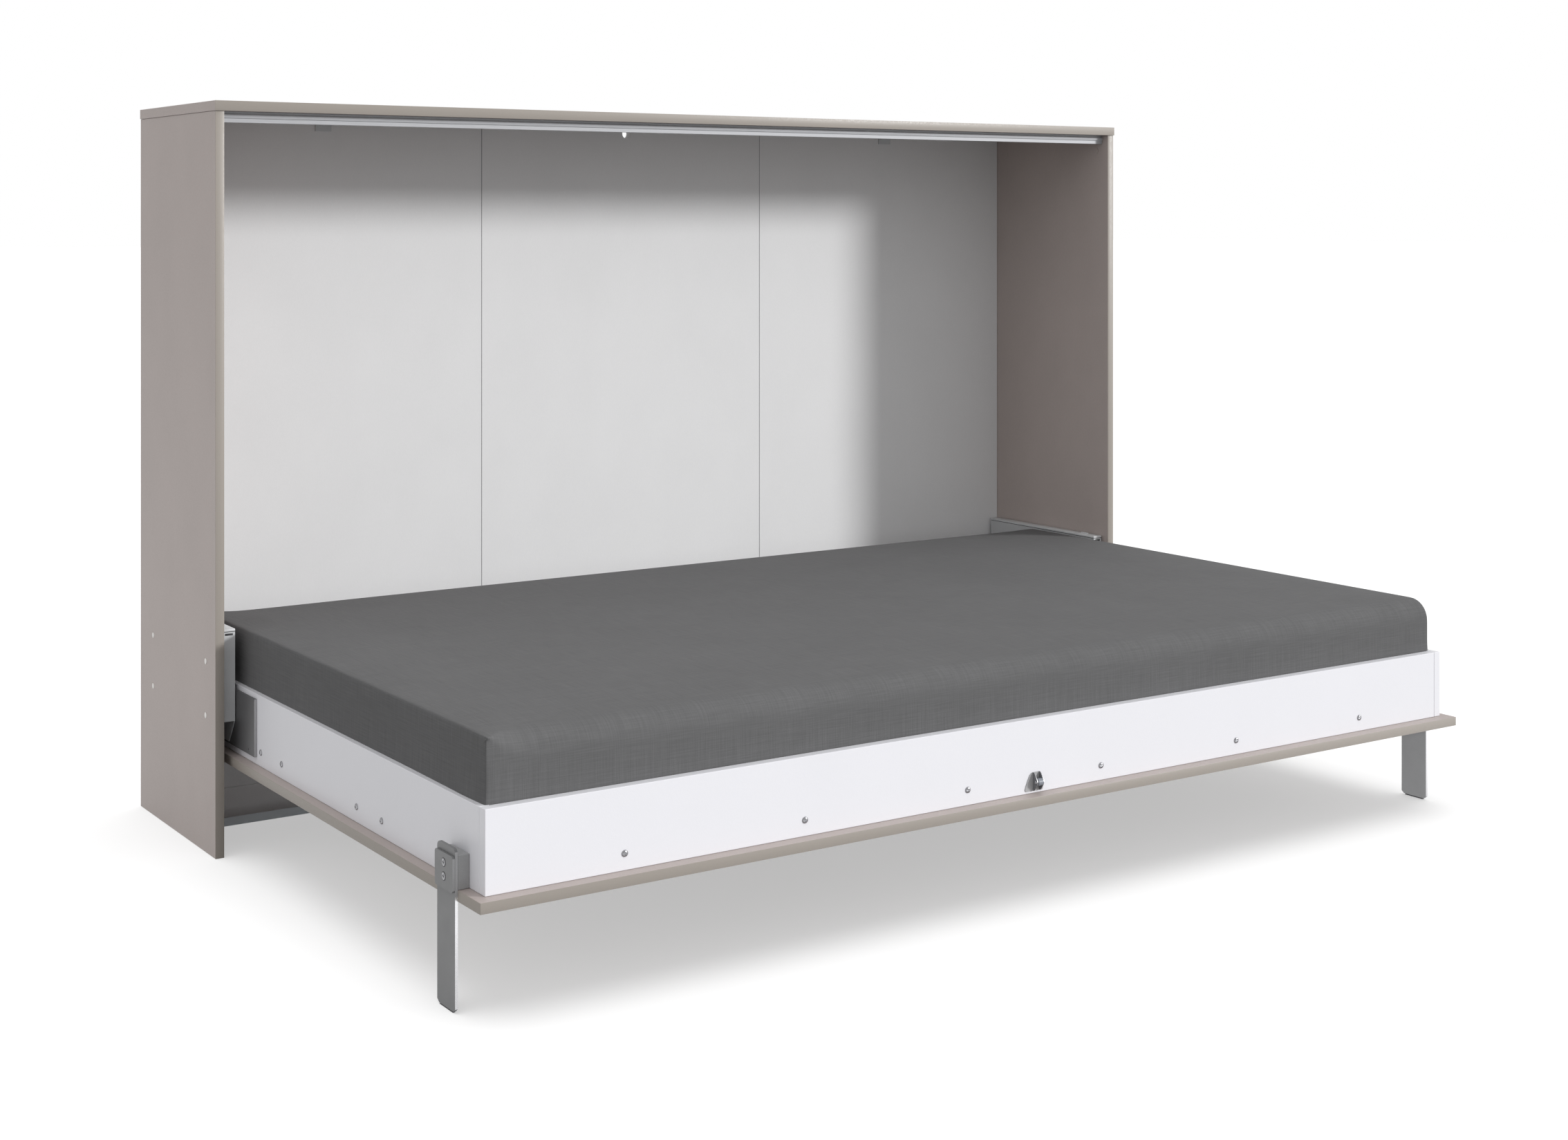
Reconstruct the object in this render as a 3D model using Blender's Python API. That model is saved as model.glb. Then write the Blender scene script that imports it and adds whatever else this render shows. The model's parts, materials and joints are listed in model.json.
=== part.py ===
"""Horizontal murphy wall bed: a low cabinet and a bed that folds down from it about one long side.

Metres, +Z up. The wall is on the +Y side and the bed opens towards -Y. The object is modelled open,
with its bounding box centred on the Z axis and its feet on z = 0.
"""

import math

import bmesh
import bpy
from mathutils import Vector

GAP = 0.0003  # between faces that touch

# Cabinet
CABINET_WIDTH = 2.116
CABINET_HEIGHT = 1.3364
CABINET_DEPTH = 0.4238
TOP_THICKNESS = 0.018
TOP_SIDE_LIP = 0.0013
TOP_FRONT_LIP = 0.0026
SIDE_THICKNESS = 0.016
BACK_THICKNESS = 0.016
BACK_INSET = 0.0072  # the back panels stand this far in front of the cabinet's rear edges
BOTTOM_THICKNESS = 0.016
BOTTOM_SETBACK = 0.195  # the bottom board's front edge, behind the cabinet's face
NOTCH_RADIUS = 0.0095
CAM_RADIUS = 0.007
CAM_THICKNESS = 0.0008
CAM_DEPTHS = (0.0413, 0.3671)
CAM_DROP = 0.0354  # below the top panel

# Fold axis and front panel
AXIS_HEIGHT = 0.2348
PANEL_OFFSET = 0.0596  # from the fold axis to the panel's inner face
PANEL_THICKNESS = 0.016
PANEL_SIDE_REVEAL = 0.0141
PANEL_TOP_REVEAL = 0.0126
PANEL_FLOOR_GAP = 0.030

# Bed frame
FRAME_SIDE_LIP = 0.01815  # the panel stands out past the rails by this much
FRAME_FRONT_LIP = 0.0231
FRAME_REAR_LIP = 0.0145
RAIL_HEIGHT = 0.123
FRONT_RAIL_THICKNESS = 0.018
RAIL_THICKNESS = 0.016
BEARER_SIZE = 0.028
SLAT_THICKNESS = 0.012
SLAT_COUNT = 14
SLAT_SLOT = 0.062
SLAT_BORDER = 0.060
MATTRESS_THICKNESS = 0.180
MATTRESS_SLACK = 0.004
MATTRESS_SIDE_LIP = 0.0084  # its upper half stops this far inside the rails' outer faces
MATTRESS_EDGE = 0.022

# Hinge boxes: outlines are (depth, height) offsets from the fold axis
RAIL_PLATE_THICKNESS = 0.0045
RAIL_PLATE_FRONT = 0.1497
RAIL_PLATE_REAR = 0.137
RAIL_PLATE_DROP = 0.0464
RAIL_PLATE_RISE = 0.0550
COVER_RUNNING_GAP = 0.0012
COVER_WALL = 0.0012
COVER_FRONT = 0.0572
COVER_REAR = 0.3143
COVER_TOP = 0.1637
COVER_BOTTOM = 0.0418
COVER_CHEEK_START = 0.0295  # in front of the axis, where the slanted lower edge ends
COVER_FLOOR_START = 0.075  # behind the axis, where the cover's floor begins
COVER_EDGE = 0.004
BASE_PLATE_THICKNESS = 0.003
BASE_PLATE_MARGIN = 0.007
SHAFT_RADIUS = 0.007
SHAFT_CLEARANCE = 0.0004
BUSH_WALL = 0.002
CRANK_THICKNESS = 0.005
CRANK_GAP = 0.0014
CRANK_REACH = 0.036
CRANK_HUB_RADIUS = 0.012
CRANK_END_RADIUS = 0.008
CRANK_ANGLE = math.radians(-40)  # at rest, from +Y towards +Z
BOLT_DEPTHS = (-0.0242, 0.2698)
BOLT_HEIGHTS = (0.0092, 0.1052)
BOLT_RADIUS = 0.003
BOLT_HEAD_RADIUS = 0.0052
BOLT_HEAD_DEPTH = 0.002
BOLT_PROUD = 0.0004
BOLT_CLEARANCE = 0.0003

# Gas springs
ANCHOR_DEPTH = 0.2768  # behind the fold axis
ANCHOR_RISE = 0.0502
CYLINDER_RADIUS = 0.009
CYLINDER_LENGTH = 0.187  # from the anchor to the mouth
ROD_RADIUS = 0.004
ROD_CLEARANCE = 0.0003
ROD_OVERLAP = 0.090  # length of rod inside the cylinder at rest
EYE_RADIUS = 0.008
EYE_THICKNESS = 0.0066
EYE_BORE = 0.0042

# Legs
LEG_WIDTH = 0.0596
LEG_THICKNESS = 0.0044
LEG_SETBACK = 0.0717  # behind the panel's front edge
LEG_HEAD_RISE = 0.0347  # above the pivot
LEG_CORNER = 0.008
LEG_PIVOT_RISE = 0.0246  # above the panel's inner face
LEG_HUB_RADIUS = 0.016
LEG_HUB_CLEARANCE = 0.0002
BLOCK_HEIGHT = 0.0493
LEG_COVER_THICKNESS = 0.0036
LEG_COVER_RISE = 0.0240
LEG_COVER_DROP = 0.0280
FOOT_THICKNESS = 0.002
FOOT_INSET = 0.008
FOOT_CORNER = 0.0045

# Stop rail and wall brackets
STOP_RAIL_HEIGHT = 0.0191
STOP_RAIL_GAP = 0.0012  # behind the closed panel
STOP_RAIL_DEPTH = 0.021
BRACKET_WIDTH = 0.033
BRACKET_LEG = 0.0156
BRACKET_FOOT = 0.030
BRACKET_THICKNESS = 0.003
BRACKET_X = 0.697

# Roller catch
CATCH_RISE = 0.0194  # axle above the panel's inner face
CATCH_PLATE = 0.0012
CATCH_HALF_WIDTH = 0.0230
CATCH_CHEEK = 0.0015
CATCH_CHEEK_REACH = 0.0132
CATCH_INNER_HALF = 0.0052
ROLLER_RADIUS = 0.0062
ROLLER_HALF_WIDTH = 0.0048
AXLE_RADIUS = 0.0021
AXLE_REACH = 0.0085
AXLE_CLEARANCE = 0.0001

# Derived positions: depths are measured back from the cabinet's face, then placed by FACE_Y
SIDE_OUTER_X = CABINET_WIDTH / 2 - TOP_SIDE_LIP
SIDE_INNER_X = SIDE_OUTER_X - SIDE_THICKNESS
UNDER_TOP_Z = CABINET_HEIGHT - TOP_THICKNESS
AXIS_DEPTH = TOP_FRONT_LIP + PANEL_THICKNESS + PANEL_OFFSET
PANEL_REACH = UNDER_TOP_Z - PANEL_TOP_REVEAL - AXIS_HEIGHT
PANEL_TAIL = AXIS_HEIGHT - PANEL_FLOOR_GAP
FACE_Y = (PANEL_REACH - AXIS_DEPTH - CABINET_DEPTH) / 2
WALL_Y = FACE_Y + CABINET_DEPTH
BACK_Y = WALL_Y - BACK_INSET - BACK_THICKNESS
AXIS_Y = FACE_Y + AXIS_DEPTH
PANEL_X = SIDE_INNER_X - PANEL_SIDE_REVEAL
PANEL_FRONT_Y = AXIS_Y - PANEL_REACH
PANEL_REAR_Y = AXIS_Y + PANEL_TAIL
PANEL_Z = AXIS_HEIGHT - PANEL_OFFSET
FRAME_X = PANEL_X - FRAME_SIDE_LIP
FRAME_FRONT_Y = PANEL_FRONT_Y + FRAME_FRONT_LIP
FRAME_REAR_Y = PANEL_REAR_Y - FRAME_REAR_LIP
RAIL_INNER_X = FRAME_X - RAIL_THICKNESS
RAIL_INNER_FRONT_Y = FRAME_FRONT_Y + FRONT_RAIL_THICKNESS
RAIL_INNER_REAR_Y = FRAME_REAR_Y - RAIL_THICKNESS
RAIL_TOP_Z = PANEL_Z + RAIL_HEIGHT
BEARER_TOP_Z = PANEL_Z + GAP + BEARER_SIZE
SLAT_TOP_Z = BEARER_TOP_Z + GAP + SLAT_THICKNESS
RAIL_PLATE_X = FRAME_X + GAP + RAIL_PLATE_THICKNESS
COVER_X = RAIL_PLATE_X + COVER_RUNNING_GAP
BASE_PLATE_X = SIDE_INNER_X - GAP - BASE_PLATE_THICKNESS
SPRING_X = (COVER_X + COVER_WALL + BASE_PLATE_X) / 2
LEG_X = PANEL_X + GAP
LEG_FRONT_Y = PANEL_FRONT_Y + LEG_SETBACK
LEG_REAR_Y = LEG_FRONT_Y + LEG_WIDTH
LEG_PIVOT_Y = (LEG_FRONT_Y + LEG_REAR_Y) / 2
LEG_PIVOT_Z = PANEL_Z + LEG_PIVOT_RISE
CATCH_Z = PANEL_Z + CATCH_RISE
AXLE_Y = FRAME_FRONT_Y - AXLE_REACH
ANCHOR_Y = AXIS_Y + ANCHOR_DEPTH
ANCHOR_Z = AXIS_HEIGHT + ANCHOR_RISE
SPRING_RUN_Y = ANCHOR_DEPTH - CRANK_REACH * math.cos(CRANK_ANGLE)
SPRING_RUN_Z = ANCHOR_RISE - CRANK_REACH * math.sin(CRANK_ANGLE)
SPRING_LENGTH = math.hypot(SPRING_RUN_Y, SPRING_RUN_Z)
SPRING_TILT = math.atan2(SPRING_RUN_Z, SPRING_RUN_Y)

SIDES = {"left": -1, "right": 1}


def clear_scene():
    for obj in list(bpy.data.objects):
        bpy.data.objects.remove(obj)


def make_material(name, color, roughness, metallic=0.0):
    material = bpy.data.materials.new(name)
    material.use_nodes = True
    shader = material.node_tree.nodes["Principled BSDF"]
    shader.inputs["Base Color"].default_value = (*color, 1.0)
    shader.inputs["Roughness"].default_value = roughness
    shader.inputs["Metallic"].default_value = metallic
    material.diffuse_color = (*color, 1.0)
    return material


def make_materials():
    return {
        "taupe_board": make_material("taupe_board", (0.37, 0.32, 0.29), 0.5),
        "grey_board": make_material("grey_board", (0.62, 0.61, 0.60), 0.55),
        "white_board": make_material("white_board", (0.86, 0.86, 0.88), 0.4),
        "grey_fabric": make_material("grey_fabric", (0.13, 0.13, 0.135), 0.95),
        "birch_ply": make_material("birch_ply", (0.62, 0.47, 0.31), 0.6),
        "dark_steel": make_material("dark_steel", (0.10, 0.10, 0.105), 0.45, 0.6),
        "grey_steel": make_material("grey_steel", (0.55, 0.56, 0.57), 0.4, 0.5),
        "zinc_steel": make_material("zinc_steel", (0.62, 0.62, 0.64), 0.3, 1.0),
        "satin_aluminium": make_material("satin_aluminium", (0.60, 0.61, 0.63), 0.35, 1.0),
        "leg_steel": make_material("leg_steel", (0.19, 0.19, 0.195), 0.5, 0.3),
        "grey_plastic": make_material("grey_plastic", (0.20, 0.21, 0.23), 0.5),
        "white_plastic": make_material("white_plastic", (0.85, 0.84, 0.82), 0.4),
        "black_plastic": make_material("black_plastic", (0.03, 0.03, 0.03), 0.5),
    }


def at(axis, along, u, v):
    """World point of a position along an axis and the two coordinates across it, in X, Y, Z order."""
    if axis == "X":
        return (along, u, v)
    if axis == "Y":
        return (u, along, v)
    return (u, v, along)


def box(low, high):
    shape = bmesh.new()
    bmesh.ops.create_cube(shape, size=1.0)
    size = Vector(high) - Vector(low)
    bmesh.ops.scale(shape, verts=shape.verts, vec=size)
    bmesh.ops.translate(shape, verts=shape.verts, vec=Vector(low) + size / 2)
    return shape


def prism(outline, axis, start, end, shape=None):
    """An outline across the axis, extruded from start to end."""
    shape = shape or bmesh.new()
    base = shape.faces.new([shape.verts.new(at(axis, start, u, v)) for u, v in outline])
    raised = bmesh.ops.extrude_face_region(shape, geom=[base])["geom"]
    shift = Vector(at(axis, end - start, 0, 0))
    bmesh.ops.translate(shape, verts=[g for g in raised if isinstance(g, bmesh.types.BMVert)], vec=shift)
    return shape


def turned(profile, axis, centre, sides=24, shape=None):
    """A solid of revolution from (along, radius) pairs, about the axis through centre."""
    shape = shape or bmesh.new()
    u, v = centre
    rings = []
    for along, radius in profile:
        count = sides if radius > 0 else 1
        angles = [2 * math.pi * k / sides for k in range(count)]
        ring = [at(axis, along, u + radius * math.cos(a), v + radius * math.sin(a)) for a in angles]
        rings.append([shape.verts.new(point) for point in ring])
    for ring in (rings[0], rings[-1]):
        if len(ring) > 1:
            shape.faces.new(ring)
    for first, second in zip(rings, rings[1:]):
        for k in range(sides):
            corners = [first[k % len(first)], first[(k + 1) % len(first)]]
            corners += [second[(k + 1) % len(second)], second[k % len(second)]]
            shape.faces.new(list(dict.fromkeys(corners)))
    return shape


def rod(start, end, radius, axis, centre, sides=24, shape=None):
    return turned([(start, radius), (end, radius)], axis, centre, sides, shape)


def rounded_outline(low, high, radius, steps=4):
    """A rectangle's outline with its four corners rounded."""
    corners = [(high[0], high[1], 0), (low[0], high[1], 1), (low[0], low[1], 2), (high[0], low[1], 3)]
    outline = []
    for u, v, quarter in corners:
        centre_u = u - radius if u == high[0] else u + radius
        centre_v = v - radius if v == high[1] else v + radius
        for k in range(steps + 1):
            angle = (quarter + k / steps) * math.pi / 2
            outline.append((centre_u + radius * math.cos(angle), centre_v + radius * math.sin(angle)))
    return outline


def finish(name, shape, material, origin, parent=None, tilt=0.0, helper=False):
    """Make an object from a shape in world space, with its origin at the given point."""
    bmesh.ops.translate(shape, verts=shape.verts, vec=-Vector(origin))
    bmesh.ops.recalc_face_normals(shape, faces=shape.faces)
    mesh = bpy.data.meshes.new(name)
    shape.to_mesh(mesh)
    shape.free()
    obj = bpy.data.objects.new(name, mesh)
    bpy.context.collection.objects.link(obj)
    obj.parent = parent
    obj.location = Vector(origin) - (parent.location if parent else Vector())
    obj.rotation_euler.x = tilt
    if helper:
        obj.hide_render = True
        obj.display_type = "WIRE"
    else:
        mesh.materials.append(material)
    return obj


def combine(obj, shape, operation):
    """Join a shape to an object, or cut it out. The shape is in the same space as the object's was."""
    origin = obj.location + (obj.parent.location if obj.parent else Vector())
    name = f"{obj.name}_{operation.lower()}_tool"
    tool = finish(name, shape, None, origin, obj.parent, obj.rotation_euler.x, helper=True)
    modifier = obj.modifiers.new(operation.title(), "BOOLEAN")
    modifier.operation = operation
    modifier.object = tool
    return obj


def soften(obj, width=0.0006, segments=1):
    """Break an object's sharp edges."""
    modifier = obj.modifiers.new("Edges", "BEVEL")
    modifier.width = width
    modifier.segments = segments
    modifier.limit_method = "ANGLE"
    modifier.angle_limit = math.radians(40)
    return obj


def shade_round(obj):
    obj.data.shade_smooth()
    obj.data.set_sharp_from_angle(angle=math.radians(35))
    return obj


def board(name, material, low, high, parent=None):
    """A board between two corners, given in any order along X."""
    low, high = Vector(map(min, low, high)), Vector(map(max, low, high))
    return soften(finish(name, box(low, high), material, (low + high) / 2, parent))


def make_pivot(name, location):
    pivot = bpy.data.objects.new(name, None)
    pivot.location = location
    pivot.empty_display_size = 0.05
    bpy.context.collection.objects.link(pivot)
    return pivot


def make_side_panels(materials):
    for side, sign in SIDES.items():
        low = (sign * SIDE_INNER_X, FACE_Y + TOP_FRONT_LIP, 0)
        high = (sign * SIDE_OUTER_X, WALL_Y, UNDER_TOP_Z - GAP)
        panel = board(f"{side}_side_panel", materials["taupe_board"], low, high)
        holes = bmesh.new()
        profile = [
            (sign * (SIDE_INNER_X - 0.001), BOLT_RADIUS + BOLT_CLEARANCE),
            (sign * (SIDE_OUTER_X - BOLT_HEAD_DEPTH - GAP), BOLT_RADIUS + BOLT_CLEARANCE),
            (sign * (SIDE_OUTER_X - BOLT_HEAD_DEPTH - GAP), BOLT_HEAD_RADIUS + BOLT_CLEARANCE),
            (sign * (SIDE_OUTER_X + 0.001), BOLT_HEAD_RADIUS + BOLT_CLEARANCE),
        ]
        for depth in BOLT_DEPTHS:
            for height in BOLT_HEIGHTS:
                turned(profile, "X", (AXIS_Y + depth, AXIS_HEIGHT + height), 16, holes)
        combine(panel, holes, "DIFFERENCE")


def make_top_and_bottom(materials):
    half = CABINET_WIDTH / 2
    board("top_panel", materials["taupe_board"], (-half, FACE_Y, UNDER_TOP_Z), (half, WALL_Y, CABINET_HEIGHT))
    reach = SIDE_INNER_X - GAP
    low = (-reach, FACE_Y + BOTTOM_SETBACK, 0)
    board("bottom_board", materials["grey_board"], low, (reach, WALL_Y, BOTTOM_THICKNESS))


def make_back_panels(materials):
    reach = SIDE_INNER_X - GAP
    width = (2 * reach - 2 * GAP) / 3
    for index, name in enumerate(("left", "center", "right")):
        start = -reach + index * (width + GAP)
        low = (start, BACK_Y, BOTTOM_THICKNESS + GAP)
        high = (start + width, BACK_Y + BACK_THICKNESS, UNDER_TOP_Z - GAP)
        panel = board(f"back_panel_{name}", materials["grey_board"], low, high)
        if name == "center":
            combine(panel, notch_shape(), "DIFFERENCE")


def notch_shape():
    """The screw notch in the top edge of the middle back panel."""
    centre_z = UNDER_TOP_Z - 0.7 * NOTCH_RADIUS
    angles = [math.pi * (1 + k / 12) for k in range(13)]
    outline = [(NOTCH_RADIUS * math.cos(a), centre_z + NOTCH_RADIUS * math.sin(a)) for a in angles]
    outline += [(NOTCH_RADIUS, UNDER_TOP_Z + 0.002), (-NOTCH_RADIUS, UNDER_TOP_Z + 0.002)]
    return prism(outline, "Y", BACK_Y - 0.002, BACK_Y + BACK_THICKNESS + 0.002)


def make_stop_rail(materials):
    """The aluminium profile under the top panel's front, which the closed panel rests against."""
    front = FACE_Y + TOP_FRONT_LIP + PANEL_THICKNESS + STOP_RAIL_GAP
    top = UNDER_TOP_Z - GAP
    web, ridge = 0.0047, 0.0043
    ridge_z = top - web - ridge
    rear = front + 0.0077
    outline = [(front + STOP_RAIL_DEPTH, top), (front + web, top)]
    for k in range(9):
        angle = math.pi * (0.5 + k / 8)
        outline.append((front + web + web * math.cos(angle), ridge_z + ridge * math.sin(angle)))
    outline += [(front + 0.0007, ridge_z - ridge - 0.0009), (front + 0.0007, top - STOP_RAIL_HEIGHT)]
    outline += [(rear, top - STOP_RAIL_HEIGHT), (rear, top - 0.003), (front + STOP_RAIL_DEPTH, top - 0.003)]
    reach = SIDE_INNER_X - GAP
    shape = prism(outline, "X", -reach, reach)
    finish("stop_rail", shape, materials["satin_aluminium"], (0, front, top))


def make_wall_brackets(materials):
    top = UNDER_TOP_Z - GAP
    back = BACK_Y - GAP
    outline = [
        (back, top),
        (back, top - BRACKET_LEG),
        (back - BRACKET_THICKNESS, top - BRACKET_LEG),
        (back - BRACKET_THICKNESS, top - BRACKET_THICKNESS),
        (back - BRACKET_FOOT, top - BRACKET_THICKNESS),
        (back - BRACKET_FOOT, top),
    ]
    for side, sign in SIDES.items():
        x = sign * BRACKET_X
        shape = prism(outline, "X", x - BRACKET_WIDTH / 2, x + BRACKET_WIDTH / 2)
        finish(f"wall_bracket_{side}", shape, materials["grey_steel"], (x, back, top))


def make_cam_caps(materials):
    z = UNDER_TOP_Z - CAM_DROP
    for side, sign in SIDES.items():
        outer = sign * (SIDE_INNER_X - GAP)
        for place, depth in zip(("front", "rear"), CAM_DEPTHS):
            y = FACE_Y + depth
            shape = rod(outer, outer - sign * CAM_THICKNESS, CAM_RADIUS, "X", (y, z), 20)
            finish(f"cam_cap_{side}_{place}", shape, materials["taupe_board"], (outer, y, z))


def cover_outline(inset=0.0):
    """The hinge cover's outline. An inset leaves the walls, and opens the slanted edge and the floor."""
    front, rear = AXIS_Y - COVER_FRONT + inset, AXIS_Y + COVER_REAR - inset
    top, bottom = AXIS_HEIGHT + COVER_TOP - inset, AXIS_HEIGHT - COVER_BOTTOM
    if not inset:
        slant = AXIS_Y - COVER_CHEEK_START
        return [(front, AXIS_HEIGHT), (front, top - COVER_EDGE), (front + COVER_EDGE, top),
                (rear, top), (rear, bottom), (slant, bottom)]
    floor = AXIS_Y + COVER_FLOOR_START
    return [(front, AXIS_HEIGHT), (front, top - COVER_EDGE), (front + COVER_EDGE, top), (rear, top),
            (rear, bottom + inset), (floor, bottom + inset), (floor, bottom - 0.01),
            (front - 0.01, bottom - 0.01), (front - 0.01, AXIS_HEIGHT)]


def make_hinge_cover(side, sign, materials):
    outer = sign * (BASE_PLATE_X - GAP)
    shape = prism(cover_outline(), "X", sign * COVER_X, outer)
    cover = finish(f"hinge_cover_{side}", shape, materials["grey_steel"], (outer, AXIS_Y, AXIS_HEIGHT))
    hollow = prism(cover_outline(COVER_WALL), "X", sign * (COVER_X + COVER_WALL), outer + sign * 0.005)
    combine(cover, hollow, "DIFFERENCE")
    start, end = sign * (COVER_X - 0.001), sign * (COVER_X + COVER_WALL + 0.0005)
    hole = rod(start, end, SHAFT_RADIUS + SHAFT_CLEARANCE, "X", (AXIS_Y, AXIS_HEIGHT))
    combine(cover, hole, "DIFFERENCE")


def base_plate_outline():
    margin = BASE_PLATE_MARGIN
    front, rear = AXIS_Y - COVER_FRONT + margin, AXIS_Y + COVER_REAR - margin
    top, bottom = AXIS_HEIGHT + COVER_TOP - margin, AXIS_HEIGHT - COVER_BOTTOM + margin
    slant = AXIS_Y - COVER_CHEEK_START + margin
    return [(front, AXIS_HEIGHT), (front, top), (rear, top), (rear, bottom), (slant, bottom)]


def make_base_plate(side, sign, materials):
    """The steel plate bolted to the cabinet side, with the gas spring's anchor stud."""
    outer = sign * (SIDE_INNER_X - GAP)
    shape = prism(base_plate_outline(), "X", sign * BASE_PLATE_X, outer)
    origin = (outer, AXIS_Y, AXIS_HEIGHT)
    plate = finish(f"hinge_base_plate_{side}", shape, materials["zinc_steel"], origin)
    stud_end = sign * (SPRING_X - EYE_THICKNESS / 2 - 0.001)
    stud_root = sign * (BASE_PLATE_X + BASE_PLATE_THICKNESS / 2)
    stud = rod(stud_end, stud_root, ROD_RADIUS, "X", (ANCHOR_Y, ANCHOR_Z), 16)
    combine(plate, stud, "UNION")
    holes = bmesh.new()
    inner, outside = sign * (BASE_PLATE_X - 0.001), sign * (SIDE_INNER_X + 0.001)
    bush_radius = SHAFT_RADIUS + SHAFT_CLEARANCE + BUSH_WALL + SHAFT_CLEARANCE / 2
    rod(inner, outside, bush_radius, "X", (AXIS_Y, AXIS_HEIGHT), 24, holes)
    for depth in BOLT_DEPTHS:
        for height in BOLT_HEIGHTS:
            centre = (AXIS_Y + depth, AXIS_HEIGHT + height)
            rod(inner, outside, BOLT_RADIUS + BOLT_CLEARANCE, "X", centre, 16, holes)
    combine(plate, holes, "DIFFERENCE")


def make_bush(side, sign, materials):
    inner, outer = sign * BASE_PLATE_X, sign * (SIDE_INNER_X - GAP)
    radius = SHAFT_RADIUS + SHAFT_CLEARANCE
    shape = rod(inner, outer, radius + BUSH_WALL, "X", (AXIS_Y, AXIS_HEIGHT))
    bush = finish(f"pivot_bush_{side}", shape, materials["black_plastic"], (outer, AXIS_Y, AXIS_HEIGHT))
    bore = rod(inner - sign * 0.001, outer + sign * 0.001, radius, "X", (AXIS_Y, AXIS_HEIGHT))
    combine(bush, bore, "DIFFERENCE")


def make_hinge_bolts(side, sign, materials):
    outside = sign * (SIDE_OUTER_X + BOLT_PROUD)
    under_head = sign * (SIDE_OUTER_X - BOLT_HEAD_DEPTH)
    tip = sign * (BASE_PLATE_X + GAP)
    profile = [(tip, BOLT_RADIUS), (under_head, BOLT_RADIUS)]
    profile += [(under_head, BOLT_HEAD_RADIUS), (outside, BOLT_HEAD_RADIUS)]
    for place, depth in zip(("front", "rear"), BOLT_DEPTHS):
        for level, height in zip(("lower", "upper"), BOLT_HEIGHTS):
            y, z = AXIS_Y + depth, AXIS_HEIGHT + height
            shape = turned(profile, "X", (y, z), 16)
            name = f"hinge_bolt_{side}_{place}_{level}"
            shade_round(finish(name, shape, materials["white_plastic"], (outside, y, z)))


def make_gas_spring(side, sign, materials):
    """Cylinder and rod, drawn level along -Y from the anchor and then tilted about it."""
    x = sign * SPRING_X
    anchor = make_pivot(f"spring_anchor_{side}", (x, ANCHOR_Y, ANCHOR_Z))
    eye_span = (x - EYE_THICKNESS / 2, x + EYE_THICKNESS / 2)
    bore_radius = ROD_RADIUS + ROD_CLEARANCE
    mouth = ANCHOR_Y - CYLINDER_LENGTH
    butt = ANCHOR_Y - EYE_RADIUS - 0.003
    bore_end = mouth + ROD_OVERLAP + 0.010
    profile = [(butt, 0), (butt, CYLINDER_RADIUS), (mouth, CYLINDER_RADIUS)]
    profile += [(mouth, bore_radius), (bore_end, bore_radius), (bore_end, 0)]
    shape = turned(profile, "Y", (x, ANCHOR_Z), 20)
    origin = anchor.location.copy()
    name = f"gas_spring_cylinder_{side}"
    cylinder = finish(name, shape, materials["black_plastic"], origin, anchor, SPRING_TILT)
    combine(cylinder, rod(*eye_span, EYE_RADIUS, "X", (ANCHOR_Y, ANCHOR_Z), 20), "UNION")
    neck = rod(ANCHOR_Y - EYE_RADIUS + 0.002, butt - 0.002, ROD_RADIUS, "Y", (x, ANCHOR_Z), 16)
    combine(cylinder, neck, "UNION")
    cut = (eye_span[0] - 0.001, eye_span[1] + 0.001)
    combine(cylinder, rod(*cut, EYE_BORE, "X", (ANCHOR_Y, ANCHOR_Z), 16), "DIFFERENCE")

    eye_y = ANCHOR_Y - SPRING_LENGTH
    shape = rod(eye_y + EYE_RADIUS - 0.002, mouth + ROD_OVERLAP, ROD_RADIUS, "Y", (x, ANCHOR_Z), 16)
    piston = finish(f"gas_spring_rod_{side}", shape, materials["zinc_steel"], origin, anchor, SPRING_TILT)
    combine(piston, rod(*eye_span, EYE_RADIUS, "X", (eye_y, ANCHOR_Z), 20), "UNION")
    combine(piston, rod(*cut, EYE_BORE, "X", (eye_y, ANCHOR_Z), 16), "DIFFERENCE")


def crank_outline():
    """The lever's outline: a tapered strap around the shaft and the pin."""
    lean = math.acos((CRANK_HUB_RADIUS - CRANK_END_RADIUS) / CRANK_REACH)
    outline = []
    for k in range(13):
        angle = CRANK_ANGLE + lean + (2 * math.pi - 2 * lean) * k / 12
        outline.append((AXIS_Y + CRANK_HUB_RADIUS * math.cos(angle),
                        AXIS_HEIGHT + CRANK_HUB_RADIUS * math.sin(angle)))
    end_y = AXIS_Y + CRANK_REACH * math.cos(CRANK_ANGLE)
    end_z = AXIS_HEIGHT + CRANK_REACH * math.sin(CRANK_ANGLE)
    for k in range(9):
        angle = CRANK_ANGLE - lean + 2 * lean * k / 8
        outline.append((end_y + CRANK_END_RADIUS * math.cos(angle), end_z + CRANK_END_RADIUS * math.sin(angle)))
    return outline


def make_pivot_shaft(side, sign, materials, bed):
    """The shaft that carries the bed, with the crank lever for the gas spring."""
    inner, outer = sign * (RAIL_PLATE_X + GAP), sign * (SIDE_INNER_X - 2 * GAP)
    shape = rod(inner, outer, SHAFT_RADIUS, "X", (AXIS_Y, AXIS_HEIGHT))
    origin = (inner, AXIS_Y, AXIS_HEIGHT)
    shaft = finish(f"pivot_shaft_{side}", shape, materials["zinc_steel"], origin, bed)
    crank_outer = BASE_PLATE_X - CRANK_GAP
    lever = prism(crank_outline(), "X", sign * (crank_outer - CRANK_THICKNESS), sign * crank_outer)
    combine(shaft, lever, "UNION")


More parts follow.
